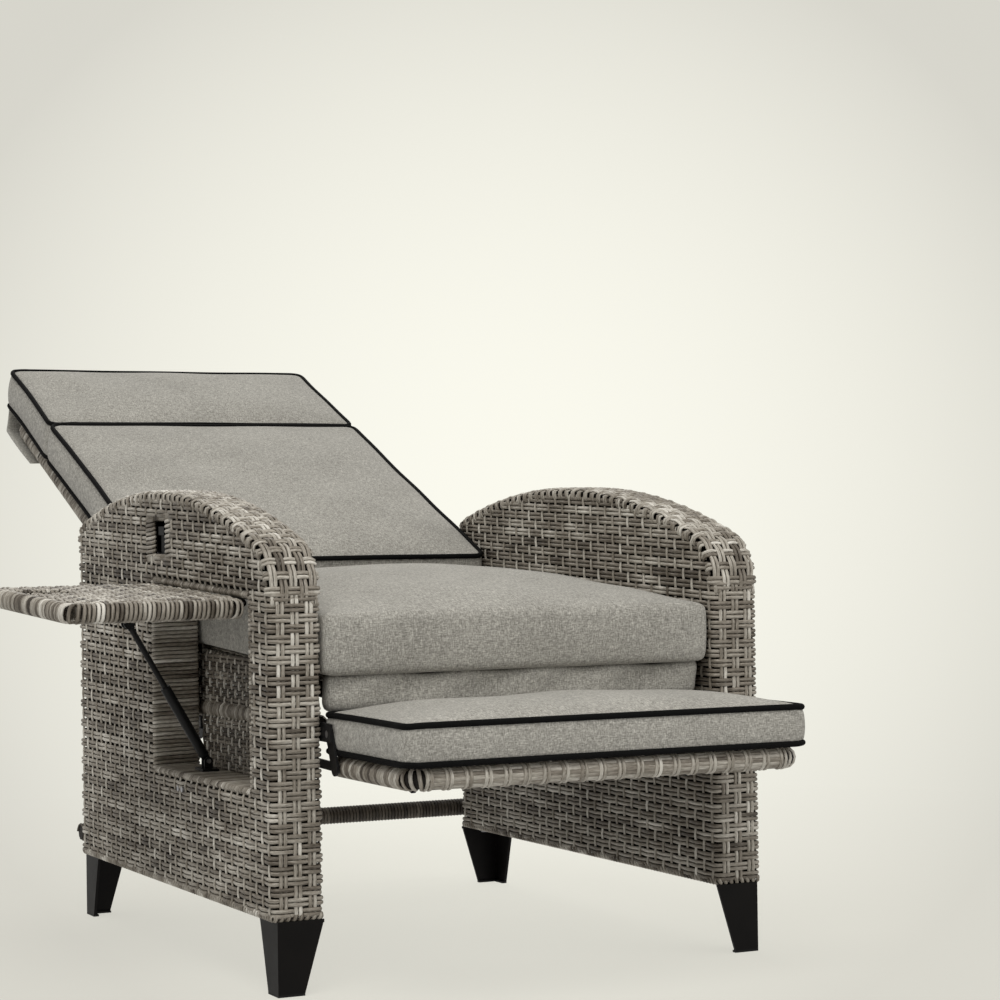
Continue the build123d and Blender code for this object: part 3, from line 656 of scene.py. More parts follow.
class Arm:
    """Builds one panel's weave. side is +1 for the sitter's left arm and -1 for the right."""

    def __init__(self, side):
        self.side = side
        self.name = "left" if side > 0 else "right"

    def surface(self, u, z, h):
        x, y, nx, ny = loop_point(u)
        return np.stack([self.side * (ARM_MIDDLE + x + nx * h), y + ny * h, z + 0 * u], axis=-1)

    def keep(self, u, z):
        x, y, nx, ny = loop_point(u)
        flat_side = (y > ARM_FRONT + EDGE * 0.9) & (y < ARM_REAR - EDGE * 0.9)
        below_nose = z < NOSE[1] + 1 * MM
        below_heel = z < HEEL[1] + 1 * MM
        ends = np.where(y < 0, below_nose, below_heel)
        inside = np.where(flat_side, arch_depth(y, z) > 7.5 * MM, ends) & (z > ARM_BOTTOM + 2 * MM)
        if self.side < 0:
            on_side = np.abs(x) > ARM_HALF - EDGE / 2
            inside &= ~(on_side & in_opening(y, z, JAMB - 4 * MM))
            inside &= ~((x > 0) & in_slot(y, z, 30 * MM, 22 * MM, 7 * MM))
        return inside

    def band(self, t, v, h):
        """The rounded top: t along the arch, v across it, with the sides turned down."""
        y, z, ny, nz = arch_point(t)
        flat = ARM_HALF - EDGE
        out = np.clip(np.abs(v) - flat, 0, None)
        angle = np.clip(out / EDGE, 0, math.pi / 2)
        drop = np.clip(out - CORNER, 0, None)
        x = np.sign(v) * (np.minimum(np.abs(v), flat) + (EDGE + h) * np.sin(angle))
        depth = EDGE - (EDGE + h) * np.cos(angle) + drop
        return np.stack([self.side * (ARM_MIDDLE + x), y - ny * depth, z - nz * depth], axis=-1)

    def painted_shade_sheet(self, name, inset, bar, x_low, x_high, holes, material):
        """Painted shade: a dark flat layer inside the panel; with a bar width it is only a ring."""
        steps = np.linspace(0, TOP_LINE, 40)
        outlines = []
        for depth in (inset, inset + bar) if bar else (inset,):
            y, z, ny, nz = arch_point(steps)
            top = list(zip(y - ny * depth, z - nz * depth))
            foot = [(ARM_REAR - depth, ARM_BOTTOM + depth), (ARM_FRONT + depth, ARM_BOTTOM + depth)]
            outlines.append(top + foot)
        paths = [[(y, z, 0) for y, z in outline] for outline in outlines + holes]
        sheet = dict(dimensions="2D", fill_mode="BOTH", extrude=(x_high - x_low) / 2)
        piece = put_curve(name, paths, material, **sheet)
        middle = self.side * (ARM_MIDDLE + (x_low + x_high) / 2)
        piece.matrix_world = Matrix(((0, 0, 1, middle), (1, 0, 0, 0), (0, 1, 0, 0), (0, 0, 0, 1)))
        finish_pieces("chassis", "wicker", piece)

    def line(self, material):
        """Painted shade: dark sheets inside the panel, so that the gaps of the weave show dark and no light shows
        through them.
        """
        layer = ARM_HALF - 7 * MM
        sheet = 1.2 * MM
        window, slot = [], []
        if self.side < 0:
            grow = JAMB - 3 * MM
            low = OPEN_SILL - grow
            ends = (OPEN_FRONT - grow, OPEN_REAR + grow)
            window = [[(ends[0], low), (ends[1], low)] + [(y, head_height(y) + grow) for y in reversed(ends)]]
            front, rear, bottom, top = SLOT
            slot = [[(front, bottom), (rear, bottom), (rear, top), (front, top)]]
        for name, inset, bar, x_low, x_high, holes in (
            ("outer", 8 * MM, 0, layer - sheet, layer, window + slot),
            ("inner", 8 * MM, 0, -layer, sheet - layer, window),
            ("rim", 7 * MM, sheet, sheet - layer, layer - sheet, []),
        ):
            self.painted_shade_sheet(f"arm_lining_{name}_{self.name}", inset, bar, x_low, x_high, holes, material)

    def weave_sides(self, low_row, high_row, suffix, material):
        strands = Strands()
        for row in range(low_row, high_row):
            level = lambda u, row=row: row_height(row, loop_point(u)[1])
            weft(strands, self.surface, row, level, STAKES, self.keep)
        return strands.mesh(f"arm_pairs_{suffix}_{self.name}", material)

    def weave_stakes(self, material):
        strands = Strands()
        rows = np.arange(-2, ROWS + 3)
        for index, u in enumerate(STAKES[:-1]):
            heights = row_height(rows, loop_point(u)[1])
            row_at = lambda z, heights=heights: np.interp(z, heights, rows)
            double = index in DOUBLE_STAKES
            stake(strands, self.surface, index, u, ARM_BOTTOM, ARM_TOP, row_at, self.keep, double)
        return strands.mesh(f"arm_stakes_{self.name}", material)

    def weave_band(self, material):
        """The band over the arch: five pairs along it, and double strands across it and down its sides."""
        strands = Strands()
        start, end = -14 * MM, TOP_LINE + 10 * MM
        crossings = np.arange(start, end + STAKE, STAKE * 0.92)
        width = 13.4 * MM
        everywhere = lambda u, v: (u > start) & (u < end)
        for row in np.arange(5) - 2:
            middle = lambda u, row=row: row * width + 0 * u
            weft(strands, self.band, row, middle, crossings, everywhere, base=0.62)
        reach = ARM_HALF - EDGE + CORNER + 9 * MM
        half_crossing = [-1, -0.93, -0.86, -0.76, -0.66, -0.55, -0.45, -0.36, -0.27, -0.18, -0.09, 0]
        half_crossing = np.array(half_crossing)
        for index, t in enumerate(crossings[1:-1], start=1):
            v = np.concatenate([half_crossing, -half_crossing[-2::-1]]) * reach
            weave = -SWAY * 1.4 * np.cos(math.pi * (index + v / width))
            shoulder = np.clip((np.abs(v) - 2.35 * width) / (0.35 * width), 0, 1)
            raised = 2.4 * MM * shoulder * np.clip((reach - np.abs(v)) / (7 * MM), 0, 1)
            height = BED + weave * (1 - shoulder) + raised
            for offset in (-2.9 * MM, 2.9 * MM):
                lay(strands, self.band, np.full_like(v, t + offset), v, height, base=0.62, spread=0.15)
        return strands.mesh(f"arm_band_{self.name}", material)

    def weave_border(self, material):
        """The looped border along the bottom, and on the right arm the wrapped edges."""
        strands = Strands()
        z = ARM_BOTTOM + 4.5 * MM
        inset = 3.5 * MM

        def rim(t):
            x, y, nx, ny = loop_point(t * LOOP)
            return np.array([self.side * (ARM_MIDDLE + x - nx * inset), y - ny * inset, z])

        def rim_side(t):
            x, y, nx, ny = loop_point(t * LOOP)
            return np.array([self.side * nx, ny, 0.0])

        wrap(strands, rim, rim_side, fixed(Z), 3.2 * MM, 3.4 * MM, 8.5 * MM, steps=10, square=0.9, base=0.55)
        if self.side < 0:
            self.wrap_opening(strands)
            self.wrap_slot(strands)
        return strands.mesh(f"arm_border_{self.name}", material)

    def wrap_opening(self, strands):
        x = self.side * ARM_MIDDLE
        half = ARM_HALF - CROWN + 0.6 * MM
        bar = (JAMB - 2 * CROWN) / 2
        across = dict(half_side=half, half_up=bar, pitch=5.7 * MM, steps=14, square=0.35)
        centre = JAMB / 2
        look = dict(base=0.56, spread=0.17, patch=0.10)
        for y in (OPEN_FRONT - centre, OPEN_REAR + centre):
            low = (x, y, OPEN_SILL - JAMB)
            high = (x, y, head_height(y) + JAMB)
            wrap(strands, straight(low, high), fixed(X), fixed(Y), **across, **look)
        for rise, level in ((0, OPEN_SILL - centre), (HEAD_RISE, OPEN_HEAD + centre)):
            start = (x, OPEN_FRONT, level)
            end = (x, OPEN_REAR, level + rise * (OPEN_REAR - OPEN_FRONT))
            wrap(strands, straight(start, end), fixed(X), fixed(Z), **across, **look)

    def wrap_slot(self, strands):
        front, rear, low, high = SLOT
        x = self.side * (ARM_MIDDLE + ARM_HALF - 4 * MM)
        thin = dict(half_up=1.6 * MM, steps=10, square=0.5, base=0.6, spread=0.16, patch=0.07)
        out = fixed((self.side, 0, 0))
        for y, half, pitch in ((rear + 16 * MM, 16 * MM, 5.9 * MM), (front - 11 * MM, 11 * MM, 7.4 * MM)):
            line = straight((x, y, low - 3 * MM), (x, y, high + 5 * MM))
            wrap(strands, line, fixed(Y), out, half_side=half, pitch=pitch, **thin)
        for z in (low - 5 * MM, high + 6 * MM):
            line = straight((x, front - 20 * MM, z), (x, rear + 30 * MM, z))
            wrap(strands, line, fixed(Z), out, half_side=4.5 * MM, pitch=6.5 * MM, **thin)

    def build(self, material, dark):
        upper = 18  # first row of the upper half
        # the dark sheets inside the panel are painted shade in the gaps of the weave
        self.line(dark)
        pieces = [
            self.weave_sides(0, upper, "lower", material),
            self.weave_sides(upper, ROWS, "upper", material),
            self.weave_stakes(material),
            self.weave_band(material),
            self.weave_border(material),
        ]
        finish_pieces("chassis", "wicker", *pieces)
        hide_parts(f"arm_weave_{self.name}")


# ---------------------------------------------------------------- flat panels and wrapped tubes
def flat_panel(
    strands, origin, along, across, normal, length, width, keep=None, row=ROW, stake_step=STAKE, **look
):
    """Plain weave on a flat rectangle: rows run along, stakes run across."""
    origin, along, across, normal = (np.array(v, float) for v in (origin, along, across, normal))

    def surface(u, v, h):
        return origin + along * u[:, None] + across * v[:, None] + normal * h[:, None]

    inside = keep or (lambda u, v: (u >= 0) & (v >= 0))
    gaps = max(2, round(length / stake_step))
    stakes = np.linspace(0, length, gaps + 1)
    count = max(1, int(width / row))
    first = (width - (count - 1) * row) / 2
    for k in range(count):
        weft(strands, surface, k, lambda u, k=k: first + k * row + 0 * u, stakes, inside, **look)
    for index, u in enumerate(stakes):
        stake(strands, surface, index, u, 0.0, width, lambda v: (v - first) / row, inside)


WEAVE_BEHIND = (0, 0, -5 * MM)  # from the upper face of a thin panel to its lower face


def double_panel(strands, origin, behind, along, across, normal, *size, **look):
    """The same weave on both faces; the second lies behind the first by an offset."""
    origin, normal = np.array(origin, float), np.array(normal, float)
    flat_panel(strands, origin, along, across, normal, *size, **look)
    flat_panel(strands, origin + behind, along, across, -normal, *size, **look)


def path_reader(points, values):
    """Reads values by t, the share of the way along a path."""
    share = travelled(points) / travelled(points)[-1]
    return lambda t: np.array([np.interp(t, share, column) for column in values.T])


def rounded_loop(low, high, level, radius):
    """Closed path round a rectangle with rounded corners in a plane of constant z."""
    (x0, y0), (x1, y1) = low, high
    corners = (
        ((x1 - radius, y0 + radius), -90),
        ((x1 - radius, y1 - radius), 0),
        ((x0 + radius, y1 - radius), 90),
        ((x0 + radius, y0 + radius), 180),
    )
    points, normals = [], []
    for (cx, cy), first in corners:
        for step in range(7):
            angle = math.radians(first + 15 * step)
            normal = (math.cos(angle), math.sin(angle), 0)
            points.append((cx + radius * normal[0], cy + radius * normal[1], level))
            normals.append(normal)
    points, normals = np.array(points + points[:1]), np.array(normals + normals[:1])
    direction = path_reader(points, normals)
    return path_reader(points, points), lambda t: direction(t) / np.linalg.norm(direction(t))


def core_tube(name, centre, radius, material, closed, samples=96):
    """The dark tube under a wrapping."""
    path = [centre(i / samples) for i in range(samples if closed else samples + 1)]
    round_bar = dict(dimensions="3D", bevel_depth=radius, bevel_resolution=3, use_fill_caps=True)
    return put_curve(name, [path], material, cyclic=closed, **round_bar)


def back_frame():
    """Place of the reclined back's own frame: origin on the hinge, Y up the back, Z out of its face."""
    hinge = next(joint for joint in frame["joints"] if joint["name"] == "recline")
    return Matrix.Translation(hinge["pos_m"]) @ Matrix.Rotation(BACK_TILT, 4, "X")


def add_stretcher(material, core):
    low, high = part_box("rear_stretcher")
    middle = (low + high) / 2
    radius = (high.z - low.z) / 2
    line = straight((low.x + 2 * MM, middle.y, middle.z), (high.x - 2 * MM, middle.y, middle.z))
    strands = Strands()
    inner = radius - CROWN
    look = dict(steps=14, square=1.0, base=0.14, spread=0.12, patch=0.08)
    wrap(strands, line, fixed(Y), fixed(Z), inner, inner, 5.6 * MM, **look)
    piece = strands.mesh("stretcher_wrap", material)
    tube = core_tube("stretcher_core", line, inner, core, False, 2)
    finish_pieces("chassis", "wicker", piece, tube)
    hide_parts("rear_stretcher")


def add_seat_rails(material, core):
    strands = Strands()
    for side in ("left", "right"):
        low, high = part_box(f"seat_rail_{side}")
        middle = (low + high) / 2
        radius = (high.z - low.z) / 2 - CROWN
        line = straight((middle.x, low.y, middle.z), (middle.x, high.y, middle.z))
        wrap(strands, line, fixed(X), fixed(Z), radius, radius, 6 * MM, square=1.0, base=0.45, patch=0.09)
        tube = core_tube(f"seat_rail_core_{side}", line, radius, core, False, 2)
        finish_pieces("chassis", "wicker", tube)
    rails = strands.mesh("seat_rail_wraps", material)
    finish_pieces("chassis", "wicker", rails)
    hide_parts("seat_rail_left", "seat_rail_right")


def add_seat_skirts(material):
    """Fine weave above each rail, and below the right one to close the inner side of the table's bay."""
    strands = Strands()
    fine = dict(row=11.8 * MM, stake_step=15 * MM, base=0.34)
    rise = math.tan(SEAT_TILT)
    low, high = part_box("seat_skirt_left")
    base = low.z - 8 * MM
    length, width = high.y - low.y, high.z - base

    def keep(u, v):
        return (u >= 0) & (u <= length) & (v >= 0) & (v <= width - (length - u) * rise)

    for side in (1, -1):
        origin, behind = (side * high.x, low.y, base), (-side * 5.5 * MM, 0, 0)
        double_panel(strands, origin, behind, Y, Z, (side, 0, 0), length, width, keep, **fine)
    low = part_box("seat_skirt_right")[0]
    origin, behind = (low.x, OPEN_FRONT - 10 * MM, low.z), (6 * MM, 0, 0)
    size = (OPEN_REAR - OPEN_FRONT + 20 * MM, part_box("seat_rail_right")[0].z - low.z + 7 * MM)
    double_panel(strands, origin, behind, Y, Z, (-1, 0, 0), *size, **fine)
    skirts = strands.mesh("seat_skirt_weave", material)
    finish_pieces("chassis", "wicker", skirts)
    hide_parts("seat_skirt_left", "seat_skirt_right")


def add_seat_deck(material):
    strands = Strands()
    low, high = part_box("seat_deck")
    rise = math.tan(SEAT_TILT)
    drop = (high.y - low.y) * rise
    thickness = high.z - low.z - drop
    slope = np.array((0, 1, rise)) / math.hypot(1, rise)
    up = np.array((0, -rise, 1)) / math.hypot(1, rise)
    origin, behind = (low.x, low.y, low.z + thickness), (0, 0, 1.5 * MM - thickness)
    size = (high.x - low.x, math.hypot(high.y - low.y, drop))
    double_panel(strands, origin, behind, X, slope, up, *size, base=0.4)
    deck = strands.mesh("seat_deck_weave", material)
    finish_pieces("chassis", "wicker", deck)
    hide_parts("seat_deck")


WRAPPED = 14 * MM  # radius of a wrapped tube
BACK_TUBE_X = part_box("backrest_frame")[1].x - WRAPPED
BACK_TUBE_Z = 0.059
BACK_LOW, BACK_HIGH, BACK_BEND = -0.018, 0.796, 0.040
BACK_LAP = 4 * MM  # the woven panel is drawn in this far from the tubes' centre lines


def add_back_weave(material, core, place):
    centre, side = rounded_loop((-BACK_TUBE_X, BACK_LOW), (BACK_TUBE_X, BACK_HIGH), BACK_TUBE_Z, BACK_BEND)
    inner = WRAPPED - CROWN
    strands = Strands()
    look = dict(steps=10, square=1.0, spread=0.2, patch=0.03, width=6.2 * MM)
    lagging = lambda t: centre((t + 0.0022) % 1.0)
    for path, base in ((centre, 0.46), (lagging, 0.5)):
        wrap(strands, path, side, fixed(Z), inner, inner, 11.4 * MM, base=base, **look)
    for y in (0.250, 0.500):
        line = straight((-BACK_TUBE_X, y, BACK_TUBE_Z), (BACK_TUBE_X, y, BACK_TUBE_Z))
        wrap(strands, line, fixed(Y), fixed(Z), 7.8 * MM, 7.8 * MM, 6 * MM, steps=10, square=1.0, base=0.45)
    wraps = strands.mesh("back_frame_wraps", material, place)
    tube = core_tube("back_frame_core", centre, inner, core, True)
    tube.matrix_world = place
    finish_pieces("backrest", "wicker", wraps, tube)
    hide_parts("backrest_frame")

    strands = Strands()
    half = BACK_TUBE_X - BACK_LAP
    low, high = BACK_LOW + BACK_LAP, BACK_HIGH - BACK_LAP
    corner = BACK_BEND - BACK_LAP

    def keep(u, v):
        du = np.clip(np.abs(u - half) - (half - corner), 0, None)
        dv = np.clip(np.abs(v - (high - low) / 2) - ((high - low) / 2 - corner), 0, None)
        return np.hypot(du, dv) <= corner

    weave_z = BACK_TUBE_Z + WRAPPED + 0.5 * MM
    length, width = 2 * half, high - low
    double_panel(strands, (-half, low, weave_z + 5 * MM), WEAVE_BEHIND, X, Y, Z, length, width, keep)
    panel = strands.mesh("back_panel_weave", material, place)
    finish_pieces("backrest", "wicker", panel)
    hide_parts("backrest_weave")


FOOT_TUBE_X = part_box("footrest_frame")[1].x - WRAPPED
FOOT_TUBE_Z = 0.285
FOOT_LOW, FOOT_HIGH, FOOT_BEND = -0.636, -0.406, 0.018


def round_front_rail(x, angle, radius):
    """Points and normals on the footrest's front rail; x or angle may run."""
    x, c, s = np.broadcast_arrays(x, np.cos(angle), np.sin(angle))
    line = np.stack([x, FOOT_LOW + radius * c, FOOT_TUBE_Z + radius * s], -1)
    return line, np.stack([0 * x, c, s], -1)


def add_foot_weave(material, core):
    centre, side = rounded_loop((-FOOT_TUBE_X, FOOT_LOW), (FOOT_TUBE_X, FOOT_HIGH), FOOT_TUBE_Z, FOOT_BEND)
    inner = WRAPPED - CROWN
    strands = Strands()
    # the front rail has flat strands along it, held by double bindings
    rail_half = FOOT_TUBE_X - FOOT_BEND
    count = 14
    for i in range(count):
        angle = 2 * math.pi * i / count
        line, normal = round_front_rail(np.linspace(-rail_half, rail_half, 40), angle, inner - 0.4 * MM)
        strands.add(line, normal, width=6.1 * MM, crown=1.5 * MM, base=0.62, spread=0.14)
    bindings = int(2 * rail_half / (25 * MM))
    turn = np.linspace(0, 2 * math.pi, 17)
    for i in range(bindings + 1):
        x = -rail_half + 2 * rail_half * i / bindings
        for offset in (-3 * MM, 3 * MM):
            line, normal = round_front_rail(x + offset, turn, inner + 0.9 * MM)
            strands.add(line, normal, width=4.8 * MM, crown=1.8 * MM, base=0.68, spread=0.1)
    # side and rear rails are wrapped
    look = dict(steps=12, square=1.0, spread=0.22)
    short = FOOT_BEND * 0.7
    for x in (-FOOT_TUBE_X, FOOT_TUBE_X):
        line = straight((x, FOOT_LOW + short, FOOT_TUBE_Z), (x, FOOT_HIGH - short, FOOT_TUBE_Z))
        flat = dict(base=0.55, width=7.4 * MM, patch=0.06)
        wrap(strands, line, fixed(X), fixed(Z), inner, inner, 7.2 * MM, **flat, **look)
    line = straight((-rail_half, FOOT_HIGH, FOOT_TUBE_Z), (rail_half, FOOT_HIGH, FOOT_TUBE_Z))
    wrap(strands, line, fixed(Y), fixed(Z), inner, inner, 6.4 * MM, base=0.45, patch=0.06, **look)
    for sx in (-1, 1):
        for y, sy in ((FOOT_LOW, -1), (FOOT_HIGH, 1)):
            cx, cy = sx * rail_half, y - sy * FOOT_BEND

            def corner(t, cx=cx, cy=cy, sx=sx, sy=sy):
                a = t * math.pi / 2
                x, y = cx + sx * FOOT_BEND * math.sin(a), cy + sy * FOOT_BEND * math.cos(a)
                return np.array([x, y, FOOT_TUBE_Z])

            def corner_side(t, sx=sx, sy=sy):
                a = t * math.pi / 2
                return np.array([sx * math.sin(a), sy * math.cos(a), 0.0])

            wrap(strands, corner, corner_side, fixed(Z), inner, inner, 6.6 * MM, base=0.6, patch=0.05, **look)
    line = straight((0, FOOT_LOW, FOOT_TUBE_Z), (0, FOOT_HIGH, FOOT_TUBE_Z))
    wrap(strands, line, fixed(X), fixed(Z), 6 * MM, 6 * MM, 6 * MM, steps=10, square=1.0, base=0.45)
    wraps = strands.mesh("foot_frame_wraps", material)
    tube = core_tube("foot_frame_core", centre, inner - 0.5 * MM, core, True)
    finish_pieces("footrest", "wicker", wraps, tube)
    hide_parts("footrest_frame")

    strands = Strands()
    half = FOOT_TUBE_X - WRAPPED
    low, high = FOOT_LOW + WRAPPED, FOOT_HIGH - WRAPPED
    weave_z = FOOT_TUBE_Z + 8.5 * MM
    double_panel(strands, (-half, low, weave_z + 5 * MM), WEAVE_BEHIND, X, Y, Z, 2 * half, high - low)
    panel = strands.mesh("foot_panel_weave", material)
    finish_pieces("footrest", "wicker", panel)
    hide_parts("footrest_weave")


# ---------------------------------------------------------------- the flip-up table
TABLE_THICK = 25 * MM
FINGER_HOLE = ((-0.2135, 0.206), (-0.1785, 0.266))  # its low and high corners in the leaf's own frame


def add_table(material):
    """The leaf is woven on both faces between coiled edges, round a finger hole."""
    hinge = (-ARM_MIDDLE - ARM_HALF, OPEN_FRONT, OPEN_HEAD)
    place = Matrix.Translation(hinge) @ Matrix.Rotation(HEAD_TILT, 4, "X")
    turned = np.array(place.inverted())
    co = np.array([turned @ np.array((*v.co, 1)) for v in nodes["table_weave"].data.vertices])[:, :3]
    low, high = co.min(0), co.max(0)
    strands = Strands()

    def keep(u, v):
        # u runs along the hinge, v out from it
        x = high[0] - v
        y = low[1] + u
        (x0, y0), (x1, y1) = FINGER_HOLE
        clear = 8 * MM
        free = ~((x > x0 - clear) & (x < x1 + clear) & (y > y0 - clear) & (y < y1 + clear))
        skew = HEAD_RISE * (x - high[0])
        edge = 14 * MM
        within = (y > low[1] + edge + 10 * MM + skew) & (y < high[1] - edge + skew)
        return free & within & (x < high[0] - edge) & (x > low[0] + edge)

    size = (high[1] - low[1], high[0] - low[0])
    behind = (0, 0, -TABLE_THICK - 0.8 * MM)
    thick = dict(row=12.4 * MM, stake_step=19 * MM)
    double_panel(strands, (high[0], low[1], 0.6 * MM), behind, Y, (-1, 0, 0), Z, *size, keep, **thick)

    rim, grow = 12 * MM, 4.5 * MM
    coil = dict(steps=14, square=0.72, width=5.2 * MM, base=0.56, spread=0.30, patch=0.09, crown=2.9 * MM)
    for outline, half, pitch, half_up in (
        (table_corners(low, high, rim), rim, 6.1 * MM, TABLE_THICK / 2),
        (hole_corners(grow), grow, 6.0 * MM, TABLE_THICK / 2 - 2 * MM),
    ):
        centre, side = bent_loop([np.array((x, y, -TABLE_THICK / 2)) for x, y in outline], half)
        wrap(strands, centre, side, fixed(Z), half - CROWN, half_up - CROWN, pitch, **coil)
    piece = strands.mesh("table_leaf_weave", material, place)
    finish_pieces("side_table", "wicker", piece)
    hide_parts("table_weave")


def bent_loop(outline, bend, steps=6):
    """Closed path along an outline with its corners bent, and its outward direction."""
    points = []
    for before, corner, after in zip(outline[-1:] + outline[:-1], outline, outline[1:] + outline[:1]):
        first = corner + (before - corner) / np.linalg.norm(before - corner) * bend
        last = corner + (after - corner) / np.linalg.norm(after - corner) * bend
        for t in np.linspace(0, 1, steps):
            points.append(first * (1 - t) ** 2 + corner * 2 * t * (1 - t) + last * t**2)
    points = np.array(points + points[:1])
    reader = path_reader(points, points)
    centre = lambda t: reader(t % 1.0)
    reach = bend / travelled(points)[-1] / 3

    def side(t):
        direction = centre(t + reach) - centre(t - reach)
        return np.cross(direction / np.linalg.norm(direction), (0, 0, 1))

    return centre, side


def table_corners(low, high, rim):
    """Centre line of the coiled edge: the leaf's four corners, drawn in by the coil's half width."""
    skew = HEAD_RISE * (high[0] - low[0])
    return [
        (high[0] - rim - 7 * MM, low[1] + rim + skew * 0.9),
        (high[0] - rim - 7 * MM, high[1] - rim),
        (low[0] + rim, high[1] - rim - skew),
        (low[0] + rim, low[1] + rim),
    ]


def hole_corners(grow):
    (x0, y0), (x1, y1) = FINGER_HOLE
    return [(x0 - grow, y0 - grow), (x1 + grow, y0 - grow), (x1 + grow, y1 + grow), (x0 - grow, y1 + grow)]


# ---------------------------------------------------------------- cushions
def cushion_block(name, low, high, corner, edge, voxel):
    """A block with rounded upright corners and soft edges, remeshed evenly."""
    low, high = Vector(low), Vector(high)
    half = (high - low) / 2
    mesh = bpy.data.meshes.new(name)
    piece = put(name, mesh)
    corner_steps, edge_steps = 6, 4
    ring = []
    for sx, sy, first in ((1, -1, -90), (1, 1, 0), (-1, 1, 90), (-1, -1, 180)):
        for i in range(corner_steps + 1):
            angle = math.radians(first + 90 * i / corner_steps)
            nx, ny = math.cos(angle), math.sin(angle)
            ring.append((sx * (half.x - corner) + corner * nx, sy * (half.y - corner) + corner * ny, nx, ny))
    levels = []
    for i in range(edge_steps + 1):
        angle = math.pi / 2 * i / edge_steps
        levels.append((edge * (1 - math.sin(angle)), -half.z + edge * (1 - math.cos(angle))))
    levels += [(inset, -z) for inset, z in reversed(levels)]
    points = [(x - nx * inset, y - ny * inset, z) for inset, z in levels for x, y, nx, ny in ring]
    faces = []
    count = len(ring)
    for level in range(len(levels) - 1):
        for i in range(count):
            a, b = level * count + i, level * count + (i + 1) % count
            faces.append((a, b, b + count, a + count))
    faces.append(tuple(range(count - 1, -1, -1)))
    top = (len(levels) - 1) * count
    faces.append(tuple(range(top, top + count)))
    mesh.from_pydata(points, [], faces)
    remesh_evenly(piece, voxel)
    apply_modifiers(piece)
    return piece, (low + high) / 2, half


def remesh_evenly(piece, voxel):
    remesh = piece.modifiers.new("remesh", "REMESH")
    remesh.mode = "VOXEL"
    remesh.voxel_size = voxel


def apply_modifiers(piece):
    graph = bpy.context.evaluated_depsgraph_get()
    graph.update()
    result = bpy.data.meshes.new_from_object(piece.evaluated_get(graph))
    old = piece.data
    piece.modifiers.clear()
    piece.data = result
    bpy.data.meshes.remove(old)


def coordinates_of(mesh):
    co = np.empty(len(mesh.vertices) * 3)
    mesh.vertices.foreach_get("co", co)
    return co.reshape(-1, 3)


def set_coordinates(mesh, co):
    mesh.vertices.foreach_set("co", np.asarray(co, float).ravel())
    mesh.update()


def inflate(piece, half, cap):
    """Cloth under pressure, held along its seams; no point moves further than cap."""
    before = coordinates_of(piece.data)
    edge_gap = np.abs(np.abs(before[:, 2]) - half.z)
    rim = np.maximum(np.abs(before[:, 0]) / half.x, np.abs(before[:, 1]) / half.y)
    on_seam = (edge_gap < 9 * MM) & (rim > 0.965)
    group = piece.vertex_groups.new(name="seam")
    group.add(np.flatnonzero(on_seam).tolist(), 1.0, "REPLACE")
    cloth = piece.modifiers.new("cloth", "CLOTH")
    settings = cloth.settings
    settings.quality = 5
    settings.use_pressure = True
    settings.uniform_pressure_force = 4.0
    settings.effector_weights.gravity = 0
    settings.vertex_group_mass = "seam"
    settings.tension_stiffness = 25
    settings.compression_stiffness = 25
    settings.bending_stiffness = 2.0
    cloth.collision_settings.use_collision = False
    frames = 20
    cloth.point_cache.frame_start = 1
    cloth.point_cache.frame_end = frames
    scene = bpy.context.scene
    for number in range(1, frames + 1):
        scene.frame_set(number)
    graph = bpy.context.evaluated_depsgraph_get()
    result = bpy.data.meshes.new_from_object(piece.evaluated_get(graph))
    after = coordinates_of(result)
    bpy.data.meshes.remove(result)
    piece.modifiers.clear()
    scene.frame_set(1)
    move = after - before
    far = np.linalg.norm(move, axis=1, keepdims=True)
    move *= cap * np.tanh(far / cap) / np.maximum(far, 1e-9)
    set_coordinates(piece.data, before + move)


